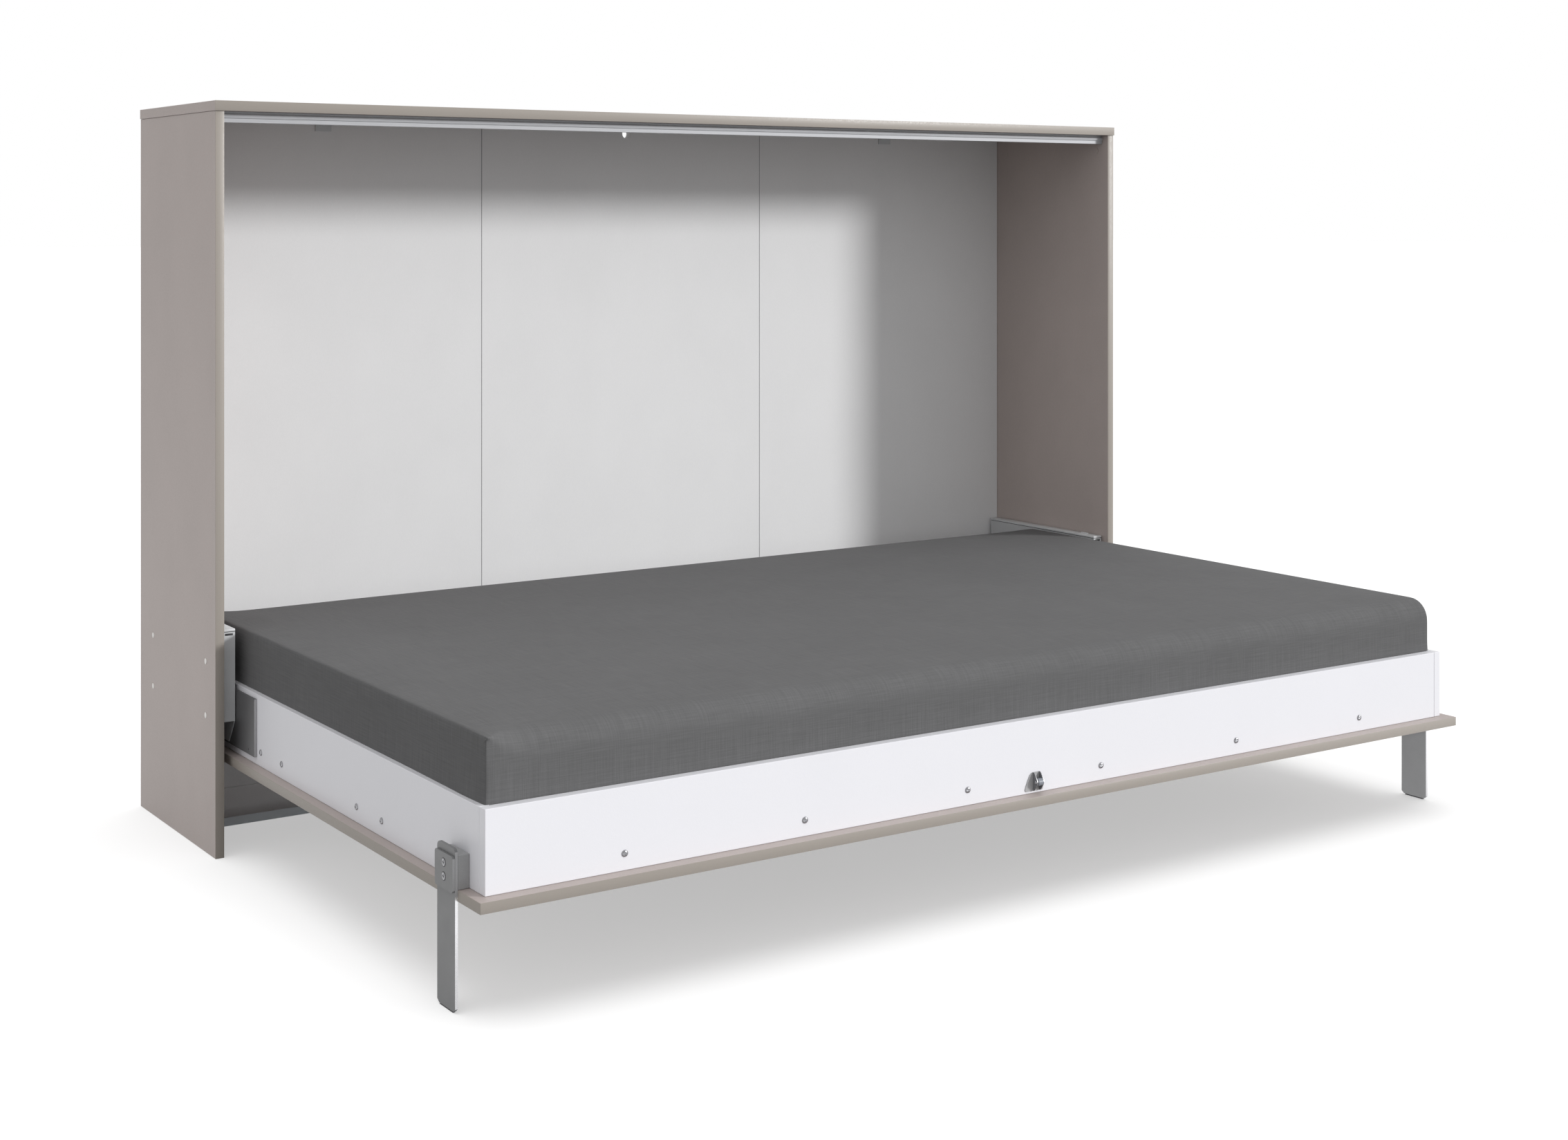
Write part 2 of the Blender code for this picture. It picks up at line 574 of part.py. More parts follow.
def make_rail_plate(side, sign, materials, bed):
    low = (AXIS_Y - RAIL_PLATE_FRONT, AXIS_HEIGHT - RAIL_PLATE_DROP)
    high = (AXIS_Y + RAIL_PLATE_REAR, AXIS_HEIGHT + RAIL_PLATE_RISE)
    shape = prism(rounded_outline(low, high, 0.003, 2), "X", sign * (FRAME_X + GAP), sign * RAIL_PLATE_X)
    origin = (sign * FRAME_X, AXIS_Y, AXIS_HEIGHT)
    finish(f"rail_hinge_plate_{side}", shape, materials["dark_steel"], origin, bed)


def make_hinges(materials, bed):
    for side, sign in SIDES.items():
        make_base_plate(side, sign, materials)
        make_bush(side, sign, materials)
        make_hinge_cover(side, sign, materials)
        make_hinge_bolts(side, sign, materials)
        make_gas_spring(side, sign, materials)
        make_pivot_shaft(side, sign, materials, bed)
        make_rail_plate(side, sign, materials, bed)


def make_front_panel(materials, bed):
    low = (-PANEL_X, PANEL_FRONT_Y, PANEL_Z - PANEL_THICKNESS)
    board("front_panel", materials["taupe_board"], low, (PANEL_X, PANEL_REAR_Y, PANEL_Z), bed)


def make_rails(materials, bed):
    """Four rails, each butting against the next one round the frame."""
    low_z = PANEL_Z + GAP
    white = materials["white_board"]
    board("front_rail", white, (-FRAME_X, FRAME_FRONT_Y, low_z),
          (RAIL_INNER_X - GAP, RAIL_INNER_FRONT_Y, RAIL_TOP_Z), bed)
    board("right_rail", white, (RAIL_INNER_X, FRAME_FRONT_Y, low_z),
          (FRAME_X, RAIL_INNER_REAR_Y - GAP, RAIL_TOP_Z), bed)
    board("rear_rail", white, (-RAIL_INNER_X + GAP, RAIL_INNER_REAR_Y, low_z),
          (FRAME_X, FRAME_REAR_Y, RAIL_TOP_Z), bed)
    board("left_rail", white, (-FRAME_X, RAIL_INNER_FRONT_Y + GAP, low_z),
          (-RAIL_INNER_X, FRAME_REAR_Y, RAIL_TOP_Z), bed)


def make_slatted_base(materials, bed):
    """Three bearers on the panel, and a slotted board of slats across them."""
    reach = RAIL_INNER_X - GAP
    front, rear = RAIL_INNER_FRONT_Y + GAP, RAIL_INNER_REAR_Y - GAP
    starts = {"front": front, "middle": (front + rear - BEARER_SIZE) / 2, "rear": rear - BEARER_SIZE}
    for place, y in starts.items():
        low = (-reach, y, PANEL_Z + GAP)
        board(f"deck_bearer_{place}", materials["birch_ply"], low, (reach, y + BEARER_SIZE, BEARER_TOP_Z), bed)
    low, high = (-reach, front, BEARER_TOP_Z + GAP), (reach, rear, SLAT_TOP_Z)
    deck = finish("slatted_base", box(low, high), materials["birch_ply"], (0, (front + rear) / 2, SLAT_TOP_Z), bed)
    pitch = (2 * reach + SLAT_SLOT) / SLAT_COUNT
    slots = bmesh.new()
    for k in range(1, SLAT_COUNT):
        end = -reach + k * pitch
        outline = rounded_outline((end - SLAT_SLOT, front + SLAT_BORDER), (end, rear - SLAT_BORDER), 0.01, 3)
        prism(outline, "Z", BEARER_TOP_Z - 0.001, SLAT_TOP_Z + 0.001, slots)
    combine(deck, slots, "DIFFERENCE")


def make_mattress(materials, bed):
    """Its lower half sits between the rails and its upper half spreads over the side rails."""
    lower, upper = RAIL_INNER_X - GAP, FRAME_X - MATTRESS_SIDE_LIP
    base, step, top = SLAT_TOP_Z + GAP, RAIL_TOP_Z + GAP, SLAT_TOP_Z + GAP + MATTRESS_THICKNESS
    right_half = [(lower, base), (lower, step), (upper, step), (upper, top)]
    outline = right_half + [(-x, z) for x, z in reversed(right_half)]
    front, rear = RAIL_INNER_FRONT_Y + GAP, RAIL_INNER_REAR_Y - MATTRESS_SLACK
    shape = prism(outline, "Y", front, rear)
    edges = [e for e in shape.edges if all(abs(v.co.z - top) < 1e-6 for v in e.verts)]
    bmesh.ops.bevel(shape, geom=edges, offset=MATTRESS_EDGE, segments=4, profile=0.5, affect="EDGES")
    shade_round(finish("mattress", shape, materials["grey_fabric"], (0, (front + rear) / 2, base), bed))


def leg_outline():
    """The leg's flat outline: a rounded head, and a foot with cut corners."""
    top = LEG_PIVOT_Z + LEG_HEAD_RISE
    foot = FOOT_THICKNESS + GAP
    head = rounded_outline((LEG_FRONT_Y, foot), (LEG_REAR_Y, top), LEG_CORNER)[:10]
    tail = [(LEG_FRONT_Y, foot + FOOT_CORNER), (LEG_FRONT_Y + FOOT_INSET - 0.002, foot)]
    tail += [(LEG_REAR_Y - FOOT_INSET + 0.002, foot), (LEG_REAR_Y, foot + FOOT_CORNER)]
    return head + tail


def make_leg(side, sign, materials, bed):
    inner, outer = sign * LEG_X, sign * (LEG_X + LEG_THICKNESS)
    pivot = make_pivot(f"leg_pivot_{side}", (outer, LEG_PIVOT_Y, LEG_PIVOT_Z))
    origin = pivot.location.copy()
    leg = finish(f"leg_{side}", prism(leg_outline(), "X", inner, outer), materials["leg_steel"], origin, pivot)
    bore_radius = LEG_HUB_RADIUS + LEG_HUB_CLEARANCE
    bore = rod(inner - sign * 0.001, outer + sign * 0.001, bore_radius, "X", (LEG_PIVOT_Y, LEG_PIVOT_Z), 32)
    combine(leg, bore, "DIFFERENCE")
    low = (inner, LEG_FRONT_Y + FOOT_INSET, 0)
    high = (outer, LEG_REAR_Y - FOOT_INSET, FOOT_THICKNESS)
    board(f"foot_pad_{side}", materials["black_plastic"], low, high, pivot)

    low = (sign * (FRAME_X + GAP), LEG_FRONT_Y, PANEL_Z + GAP)
    high = (sign * PANEL_X, LEG_REAR_Y, PANEL_Z + GAP + BLOCK_HEIGHT)
    board(f"leg_block_{side}", materials["leg_steel"], low, high, bed)
    hub = rod(inner, outer, LEG_HUB_RADIUS, "X", (LEG_PIVOT_Y, LEG_PIVOT_Z), 32)
    finish(f"leg_hub_{side}", hub, materials["zinc_steel"], origin, bed)
    low = (LEG_FRONT_Y, LEG_PIVOT_Z - LEG_COVER_DROP)
    high = (LEG_REAR_Y, LEG_PIVOT_Z + LEG_COVER_RISE)
    start = outer + sign * GAP
    shape = prism(rounded_outline(low, high, 0.005), "X", start, start + sign * LEG_COVER_THICKNESS)
    finish(f"leg_cover_{side}", shape, materials["leg_steel"], (start, LEG_PIVOT_Y, LEG_PIVOT_Z), bed)


def catch_cheek_outline():
    """A cheek's outline, a triangle with its tip in front of the roller's axle."""
    root = FRAME_FRONT_Y - GAP - CATCH_PLATE / 2
    tip = FRAME_FRONT_Y - CATCH_CHEEK_REACH
    return [(root, CATCH_Z + 0.0140), (tip + 0.0030, CATCH_Z + 0.0035), (tip, CATCH_Z - 0.0005),
            (tip + 0.0020, CATCH_Z - 0.0050), (root, CATCH_Z - 0.0140)]


def make_catch(materials, bed):
    """The roller catch on the front rail: a bracket with two cheeks, a roller and its axle."""
    plate_y = FRAME_FRONT_Y - GAP
    half = CATCH_HALF_WIDTH
    outline = [(-0.006, CATCH_Z + 0.015), (-half, CATCH_Z - 0.005), (-half, CATCH_Z - 0.009),
               (-0.012, CATCH_Z - 0.0155), (0.012, CATCH_Z - 0.0155), (half, CATCH_Z - 0.009),
               (half, CATCH_Z - 0.005), (0.006, CATCH_Z + 0.015)]
    shape = prism(outline, "Y", plate_y - CATCH_PLATE, plate_y)
    bracket = finish("catch_bracket", shape, materials["zinc_steel"], (0, plate_y, CATCH_Z), bed)
    cheeks = bmesh.new()
    for sign in SIDES.values():
        start = sign * CATCH_INNER_HALF
        prism(catch_cheek_outline(), "X", start, start + sign * CATCH_CHEEK, cheeks)
    combine(bracket, cheeks, "UNION")
    end = CATCH_INNER_HALF + CATCH_CHEEK + 0.0006
    centre = (AXLE_Y, CATCH_Z)
    combine(bracket, rod(-end, end, AXLE_RADIUS + AXLE_CLEARANCE, "X", centre, 20), "DIFFERENCE")
    shape = rod(-end, end, AXLE_RADIUS, "X", centre, 20)
    shade_round(finish("catch_axle", shape, materials["zinc_steel"], (0, AXLE_Y, CATCH_Z), bed))

    pivot = make_pivot("roller_pivot", (0, AXLE_Y, CATCH_Z))
    shape = rod(-ROLLER_HALF_WIDTH, ROLLER_HALF_WIDTH, ROLLER_RADIUS, "X", centre, 28)
    roller = finish("catch_roller", shape, materials["grey_plastic"], (0, AXLE_Y, CATCH_Z), pivot)
    reach = ROLLER_HALF_WIDTH + 0.001
    combine(roller, rod(-reach, reach, AXLE_RADIUS + AXLE_CLEARANCE, "X", centre, 20), "DIFFERENCE")


def main():
    clear_scene()
    materials = make_materials()
    bed = make_pivot("fold_axis", (0, AXIS_Y, AXIS_HEIGHT))
    make_side_panels(materials)
    make_top_and_bottom(materials)
    make_back_panels(materials)
    make_stop_rail(materials)
    make_wall_brackets(materials)
    make_cam_caps(materials)
    make_hinges(materials, bed)
    make_front_panel(materials, bed)
    make_rails(materials, bed)
    make_slatted_base(materials, bed)
    make_mattress(materials, bed)
    for side, sign in SIDES.items():
        make_leg(side, sign, materials, bed)
    make_catch(materials, bed)


main()
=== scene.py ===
"""Looks for a horizontal murphy wall bed: finishes, hardware, a cloth mattress and a studio."""

import json
import logging
import math
from collections.abc import Sequence
from dataclasses import dataclass, field
from enum import Enum

import bmesh
import bpy
from mathutils import Matrix, Vector

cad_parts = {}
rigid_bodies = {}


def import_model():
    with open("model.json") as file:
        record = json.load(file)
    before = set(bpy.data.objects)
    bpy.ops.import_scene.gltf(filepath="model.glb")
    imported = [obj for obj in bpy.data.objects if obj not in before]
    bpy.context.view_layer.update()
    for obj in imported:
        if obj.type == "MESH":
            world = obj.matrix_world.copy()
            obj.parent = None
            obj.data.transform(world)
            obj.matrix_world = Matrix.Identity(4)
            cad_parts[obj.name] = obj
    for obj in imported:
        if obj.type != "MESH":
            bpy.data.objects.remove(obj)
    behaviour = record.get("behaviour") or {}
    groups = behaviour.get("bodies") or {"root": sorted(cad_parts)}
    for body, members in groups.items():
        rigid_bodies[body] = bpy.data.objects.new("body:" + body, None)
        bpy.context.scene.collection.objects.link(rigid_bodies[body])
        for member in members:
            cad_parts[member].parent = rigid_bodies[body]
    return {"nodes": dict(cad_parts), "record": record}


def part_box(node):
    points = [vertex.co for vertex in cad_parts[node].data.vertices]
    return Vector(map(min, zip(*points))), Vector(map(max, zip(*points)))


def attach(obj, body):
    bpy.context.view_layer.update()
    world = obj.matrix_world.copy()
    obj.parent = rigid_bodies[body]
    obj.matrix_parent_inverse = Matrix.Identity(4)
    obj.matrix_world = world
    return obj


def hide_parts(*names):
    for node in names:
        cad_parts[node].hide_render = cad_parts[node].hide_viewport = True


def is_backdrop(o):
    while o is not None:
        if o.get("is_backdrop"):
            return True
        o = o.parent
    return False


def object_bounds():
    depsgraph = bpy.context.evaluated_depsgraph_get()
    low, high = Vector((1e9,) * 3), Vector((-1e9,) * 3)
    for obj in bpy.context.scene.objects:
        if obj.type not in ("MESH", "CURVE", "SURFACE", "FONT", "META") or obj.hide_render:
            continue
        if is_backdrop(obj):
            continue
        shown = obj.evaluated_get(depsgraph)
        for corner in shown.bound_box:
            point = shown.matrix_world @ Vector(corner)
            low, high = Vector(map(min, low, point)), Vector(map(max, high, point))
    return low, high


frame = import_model()
CAD_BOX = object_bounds()

LOG = logging.getLogger("murphy_bed")
Colour = tuple[float, float, float]
Point = tuple[float, float, float]

EDGE_FACE = 0.9  # least part of a normal along an axis for a face to count as facing it
RIM_ANGLE = 1.2  # radians between faces at a sharp edge
WAVE_PERIOD = math.pi / 10  # a wave texture's period in metres at a scale of 1
MIX_DARK, MIX_LIGHT, MIX_RESULT = 6, 7, 2  # a Mix node's colour sockets
MERGE = 1e-6


class Side(Enum):
    """The two ends of the bed, as the sign of X."""

    LEFT = -1
    RIGHT = 1

    @property
    def facing(self) -> "Facing":
        """The way that hardware on this side looks out."""
        return Facing[self.name]

    @property
    def word(self) -> str:
        """The side's name in a node's name."""
        return self.name.lower()


class Facing(Enum):
    """Which way a piece of hardware looks out, as a turn of its +Z."""

    FRONT = (math.pi / 2, "X")
    REAR = (-math.pi / 2, "X")
    LEFT = (-math.pi / 2, "Y")
    RIGHT = (math.pi / 2, "Y")

    def matrix(self) -> Matrix:
        """The turn that takes +Z to this facing."""
        angle, axis = self.value
        return Matrix.Rotation(angle, 4, axis)

    def normal(self) -> Vector:
        """The direction that this facing looks in, as whole numbers."""
        return Vector([round(part) for part in self.matrix().col[2].xyz])


# ---------------------------------------------------------------- finishes


class Shader:
    """A Principled material, with short ways to add texture nodes to it."""

    def __init__(self, name: str, colour: Colour, roughness: float, metallic: float = 0.0) -> None:
        """Start a material.

        Args:
            name: The material's name.
            colour: Base colour, in linear values.
            roughness: The surface's roughness.
            metallic: 1 for bare metal.
        """
        self.material = bpy.data.materials.new(name)
        self.material.use_nodes = True
        self.tree = self.material.node_tree
        self.main = self.tree.nodes["Principled BSDF"]
        self.set("Base Color", (*colour, 1.0))
        self.set("Roughness", roughness)
        self.set("Metallic", metallic)
        self.material.diffuse_color = (*colour, 1.0)
        self.bumps: list[bpy.types.Node] = []

    def set(self, socket: str, value: float | Sequence[float]) -> None:
        """Set one of the main shader's own values."""
        self.main.inputs[socket].default_value = value

    def node(self, kind: str, **settings: object) -> bpy.types.Node:
        """Add a node.

        Args:
            kind: The node's type, without the ShaderNode prefix.
            **settings: Attributes of the node, or values of its inputs with underscores for spaces.

        Returns:
            The new node.
        """
        node = self.tree.nodes.new(f"ShaderNode{kind}")
        for key, value in settings.items():
            if hasattr(node, key):
                setattr(node, key, value)
            else:
                node.inputs[key.replace("_", " ")].default_value = value
        return node

    def link(self, source: bpy.types.NodeSocket, target: bpy.types.NodeSocket) -> None:
        """Join two sockets."""
        self.tree.links.new(source, target)

    def coordinates(self, scale: Point, use_uv: bool = False) -> bpy.types.NodeSocket:
        """Object or UV coordinates in metres, stretched by a scale along each axis.

        Args:
            scale: Waves per metre along each axis.
            use_uv: Whether to read the UV map.

        Returns:
            The vector to read a texture with.
        """
        source = self.node("TexCoord").outputs["UV" if use_uv else "Object"]
        mapping = self.node("Mapping")
        mapping.inputs["Scale"].default_value = scale
        self.link(source, mapping.inputs["Vector"])
        return mapping.outputs["Vector"]

    def noise(self, scale: Point, detail: float = 2.0, use_uv: bool = False) -> bpy.types.NodeSocket:
        """Noise from 0 to 1, with a number of waves per metre along each axis.

        Args:
            scale: Waves per metre along each axis.
            detail: How many finer layers it has.
            use_uv: Whether it follows the UV map.

        Returns:
            The noise value.
        """
        texture = self.node("TexNoise", Scale=1.0, Detail=detail, Roughness=0.55)
        self.link(self.coordinates(scale, use_uv), texture.inputs["Vector"])
        return texture.outputs["Fac"]

    def threads(self, pitch: float, across: str, distortion: float) -> bpy.types.NodeSocket:
        """Parallel threads on the UV map, pitch metres apart.

        Args:
            pitch: The distance between threads.
            across: The axis that they repeat along.
            distortion: How much they waver.

        Returns:
            The height across the threads.
        """
        texture = self.node("TexWave", wave_type="BANDS", bands_direction=across)
        texture.inputs["Scale"].default_value = WAVE_PERIOD / pitch
        texture.inputs["Distortion"].default_value = distortion
        texture.inputs["Detail"].default_value = 1.0
        texture.inputs["Detail Scale"].default_value = 0.4
        self.link(self.coordinates((1, 1, 1), True), texture.inputs["Vector"])
        return texture.outputs["Fac"]

    def spread(self, value: bpy.types.NodeSocket, low: float, high: float) -> bpy.types.NodeSocket:
        """Stretch a noise value's usual range to new limits.

        Args:
            value: The noise value.
            low: What its usual low becomes.
            high: What its usual high becomes.

        Returns:
            The stretched value.
        """
        node = self.node("MapRange", From_Min=0.3, From_Max=0.7, To_Min=low, To_Max=high)
        self.link(value, node.inputs["Value"])
        return node.outputs["Result"]

    def combine(self, a: bpy.types.NodeSocket, b: bpy.types.NodeSocket, how: str) -> bpy.types.NodeSocket:
        """Combine two values with a math operation.

        Args:
            a: The first value.
            b: The second value.
            how: The operation's name.

        Returns:
            The result.
        """
        node = self.node("Math", operation=how)
        self.link(a, node.inputs[0])
        self.link(b, node.inputs[1])
        return node.outputs[0]

    def tint(self, factor: bpy.types.NodeSocket, dark: Colour, light: Colour) -> bpy.types.NodeSocket:
        """A colour between two others.

        Args:
            factor: 0 for the dark colour, 1 for the light one.
            dark: The dark colour.
            light: The light colour.

        Returns:
            The mixed colour.
        """
        mix = self.node("Mix", data_type="RGBA")
        self.link(factor, mix.inputs["Factor"])
        mix.inputs[MIX_DARK].default_value = (*dark, 1.0)
        mix.inputs[MIX_LIGHT].default_value = (*light, 1.0)
        return mix.outputs[MIX_RESULT]

    def colour_from(self, factor: bpy.types.NodeSocket, dark: Colour, light: Colour) -> None:
        """Vary the base colour with a value."""
        self.link(self.tint(factor, dark, light), self.main.inputs["Base Color"])

    def roughness_around(self, value: bpy.types.NodeSocket, middle_value: float, reach: float) -> None:
        """Vary the roughness about a middle value with a noise."""
        rough = self.spread(value, middle_value - reach, middle_value + reach)
        self.link(rough, self.main.inputs["Roughness"])

    def bump(self, height: bpy.types.NodeSocket, depth: float, strength: float = 1.0) -> None:
        """Add relief of a depth in metres, on top of any added before.

        Args:
            height: The relief, from 0 to 1.
            depth: What 1 stands for, in metres.
            strength: How much of it shows.
        """
        node = self.node("Bump", Strength=strength, Distance=depth)
        self.link(height, node.inputs["Height"])
        if self.bumps:
            self.link(self.bumps[-1].outputs["Normal"], node.inputs["Normal"])
        self.link(node.outputs["Normal"], self.main.inputs["Normal"])
        self.bumps.append(node)


def shade(colour: Colour, factor: float) -> Colour:
    """A colour made darker or lighter."""
    red, green, blue = (min(1.0, channel * factor) for channel in colour)
    return red, green, blue


@dataclass(frozen=True)
class BoardFinish:
    """Melamine-faced board: a satin print with faint clouding, pores and orange peel."""

    name: str
    colour: Colour
    roughness: float = 0.45
    clouding: float = 0.03
    pores: float = 0.03
    peel_depth: float = 0.00006
    cloud_waves: Point = (7, 7, 5)
    pore_waves: Point = (700, 700, 260)
    peel_waves: Point = (420, 420, 420)
    tone_gain: float = 5.0
    tone_range: float = 0.1
    gloss_range: float = 0.06
    specular: float = 0.35

    def material(self) -> bpy.types.Material:
        """Build the material.

        Returns:
            The new material.
        """
        shader = Shader(self.name, self.colour, self.roughness)
        clouds = shader.spread(shader.noise(self.cloud_waves, 3), -self.clouding, self.clouding)
        pores = shader.spread(shader.noise(self.pore_waves, 2), -self.pores, self.pores)
        both = shader.combine(clouds, pores, "ADD")
        centred = shader.node("Math", operation="MULTIPLY_ADD")
        shader.link(both, centred.inputs[0])
        centred.inputs[1].default_value = self.tone_gain
        centred.inputs[2].default_value = 0.5
        dark, light = shade(self.colour, 1 - self.tone_range), shade(self.colour, 1 + self.tone_range)
        shader.colour_from(centred.outputs[0], dark, light)
        peel = shader.noise(self.peel_waves, 2)
        shader.roughness_around(peel, self.roughness, self.gloss_range)
        shader.bump(peel, self.peel_depth)
        shader.set("Specular IOR Level", self.specular)
        return shader.material


@dataclass(frozen=True)
class PlyFinish:
    """Birch plywood: long face grain, with plies along its edges."""

    name: str
    colour: Colour
    ply: float = 0.0014
    roughness: float = 0.6
    grain_waves: Point = (5, 160, 60)
    relief: float = 0.00012

    def material(self) -> bpy.types.Material:
        """Build the material.

        Returns:
            The new material.
        """
        shader = Shader(self.name, self.colour, self.roughness)
        grain = shader.noise(self.grain_waves, 4)
        plies = shader.node("TexWave", bands_direction="Z", Distortion=0.6)
        plies.inputs["Scale"].default_value = WAVE_PERIOD / (2 * self.ply)
        shader.link(shader.coordinates((1, 1, 1)), plies.inputs["Vector"])
        both = shader.combine(shader.spread(grain, 0.1, 0.9), plies.outputs["Fac"], "MULTIPLY")
        shader.colour_from(both, shade(self.colour, 0.8), shade(self.colour, 1.15))
        shader.bump(grain, self.relief)
        return shader.material


@dataclass(frozen=True)
class MetalFinish:
    """Bare metal, brushed along X or Y or evenly satin."""

    name: str
    colour: Colour
    roughness: float
    grain: Point = (900, 900, 900)
    metallic: float = 1.0
    relief: float = 0.00003
    gloss_range: float = 0.07

    def material(self) -> bpy.types.Material:
        """Build the material.

        Returns:
            The new material.
        """
        shader = Shader(self.name, self.colour, self.roughness, self.metallic)
        grain = shader.noise(self.grain, 3)
        shader.colour_from(shader.spread(grain, 0.0, 1.0), shade(self.colour, 0.88), shade(self.colour, 1.08))
        shader.roughness_around(grain, self.roughness, self.gloss_range)
        shader.bump(grain, self.relief)
        return shader.material


@dataclass(frozen=True)
class PowderCoat:
    """Powder-coated steel: a fine pebbled paint with a soft gloss."""

    name: str
    colour: Colour
    roughness: float = 0.5
    pebble: float = 0.00008
    pebble_waves: Point = (800, 800, 800)
    patch_waves: Point = (40, 40, 40)
    gloss_range: float = 0.05
    coat: float = 0.15
    coat_roughness: float = 0.35

    def material(self) -> bpy.types.Material:
        """Build the material.

        Returns:
            The new material.
        """
        shader = Shader(self.name, self.colour, self.roughness)
        pebbles = shader.noise(self.pebble_waves, 2)
        patches = shader.noise(self.patch_waves, 2)
        tone = shader.combine(shader.spread(pebbles, 0.2, 0.8), shader.spread(patches, 0.2, 0.8), "MULTIPLY")
        shader.colour_from(tone, shade(self.colour, 0.93), shade(self.colour, 1.12))
        shader.roughness_around(patches, self.roughness, self.gloss_range)
        shader.bump(pebbles, self.pebble)
        shader.set("Coat Weight", self.coat)
        shader.set("Coat Roughness", self.coat_roughness)
        return shader.material


@dataclass(frozen=True)
class PlasticFinish:
    """Moulded plastic with a fine spark texture."""

    name: str
    colour: Colour
    roughness: float = 0.45
    spark_waves: Point = (1500, 1500, 1500)
    gloss_range: float = 0.08
    relief: float = 0.00004

    def material(self) -> bpy.types.Material:
        """Build the material.

        Returns:
            The new material.
        """
        shader = Shader(self.name, self.colour, self.roughness)
        sparks = shader.noise(self.spark_waves, 2)
        mix = shader.spread(sparks, 0.0, 1.0)
        shader.colour_from(mix, shade(self.colour, 0.94), shade(self.colour, 1.06))
        shader.roughness_around(sparks, self.roughness, self.gloss_range)
        shader.bump(sparks, self.relief)
        return shader.material


@dataclass(frozen=True)
class LinenFinish:
    """A close linen-look weave with slubs both ways, on a UV map in metres."""

    name: str
    colour: Colour
    pitch: float = 0.0011
    slub_tone: float = 0.16
    roughness: float = 0.88
    waver: float = 1.2
    slub_waves: tuple[float, float] = (14, 520)
    patch_waves: Point = (5, 5, 1)
    weave_relief: float = 0.00010
    slub_relief: float = 0.00012
    sheen: float = 0.04
    specular: float = 0.08

    def material(self) -> bpy.types.Material:
        """Build the material.

        Returns:
            The new material.
        """
        shader = Shader(self.name, self.colour, self.roughness)
        warp = shader.threads(self.pitch, "X", self.waver)
        weft = shader.threads(self.pitch, "Y", self.waver)
        weave = shader.combine(warp, weft, "MAXIMUM")
        along, across = self.slub_waves
        lengthwise = shader.spread(shader.noise((along, across, 1), 2, True), 0.0, 1.0)
        crosswise = shader.spread(shader.noise((across, along, 1), 2, True), 0.0, 1.0)
        patches = shader.spread(shader.noise(self.patch_waves, 2, True), 0.3, 0.7)
        slubs = shader.combine(lengthwise, crosswise, "ADD")
        threads = shader.combine(slubs, patches, "ADD")
        tone = shader.node("MapRange", From_Min=0.4, From_Max=2.6, To_Min=0.0, To_Max=1.0)
        shader.link(threads, tone.inputs["Value"])
        low, high = 1 - self.slub_tone, 1 + self.slub_tone
        shader.colour_from(tone.outputs["Result"], shade(self.colour, low), shade(self.colour, high))
        shader.bump(weave, self.weave_relief, 0.7)
        shader.bump(slubs, self.slub_relief, 0.6)
        shader.set("Sheen Weight", self.sheen)
        shader.set("Sheen Roughness", 0.5)
        shader.set("Specular IOR Level", self.specular)
        return shader.material


Finish = BoardFinish | PlyFinish | MetalFinish | PowderCoat | PlasticFinish | LinenFinish

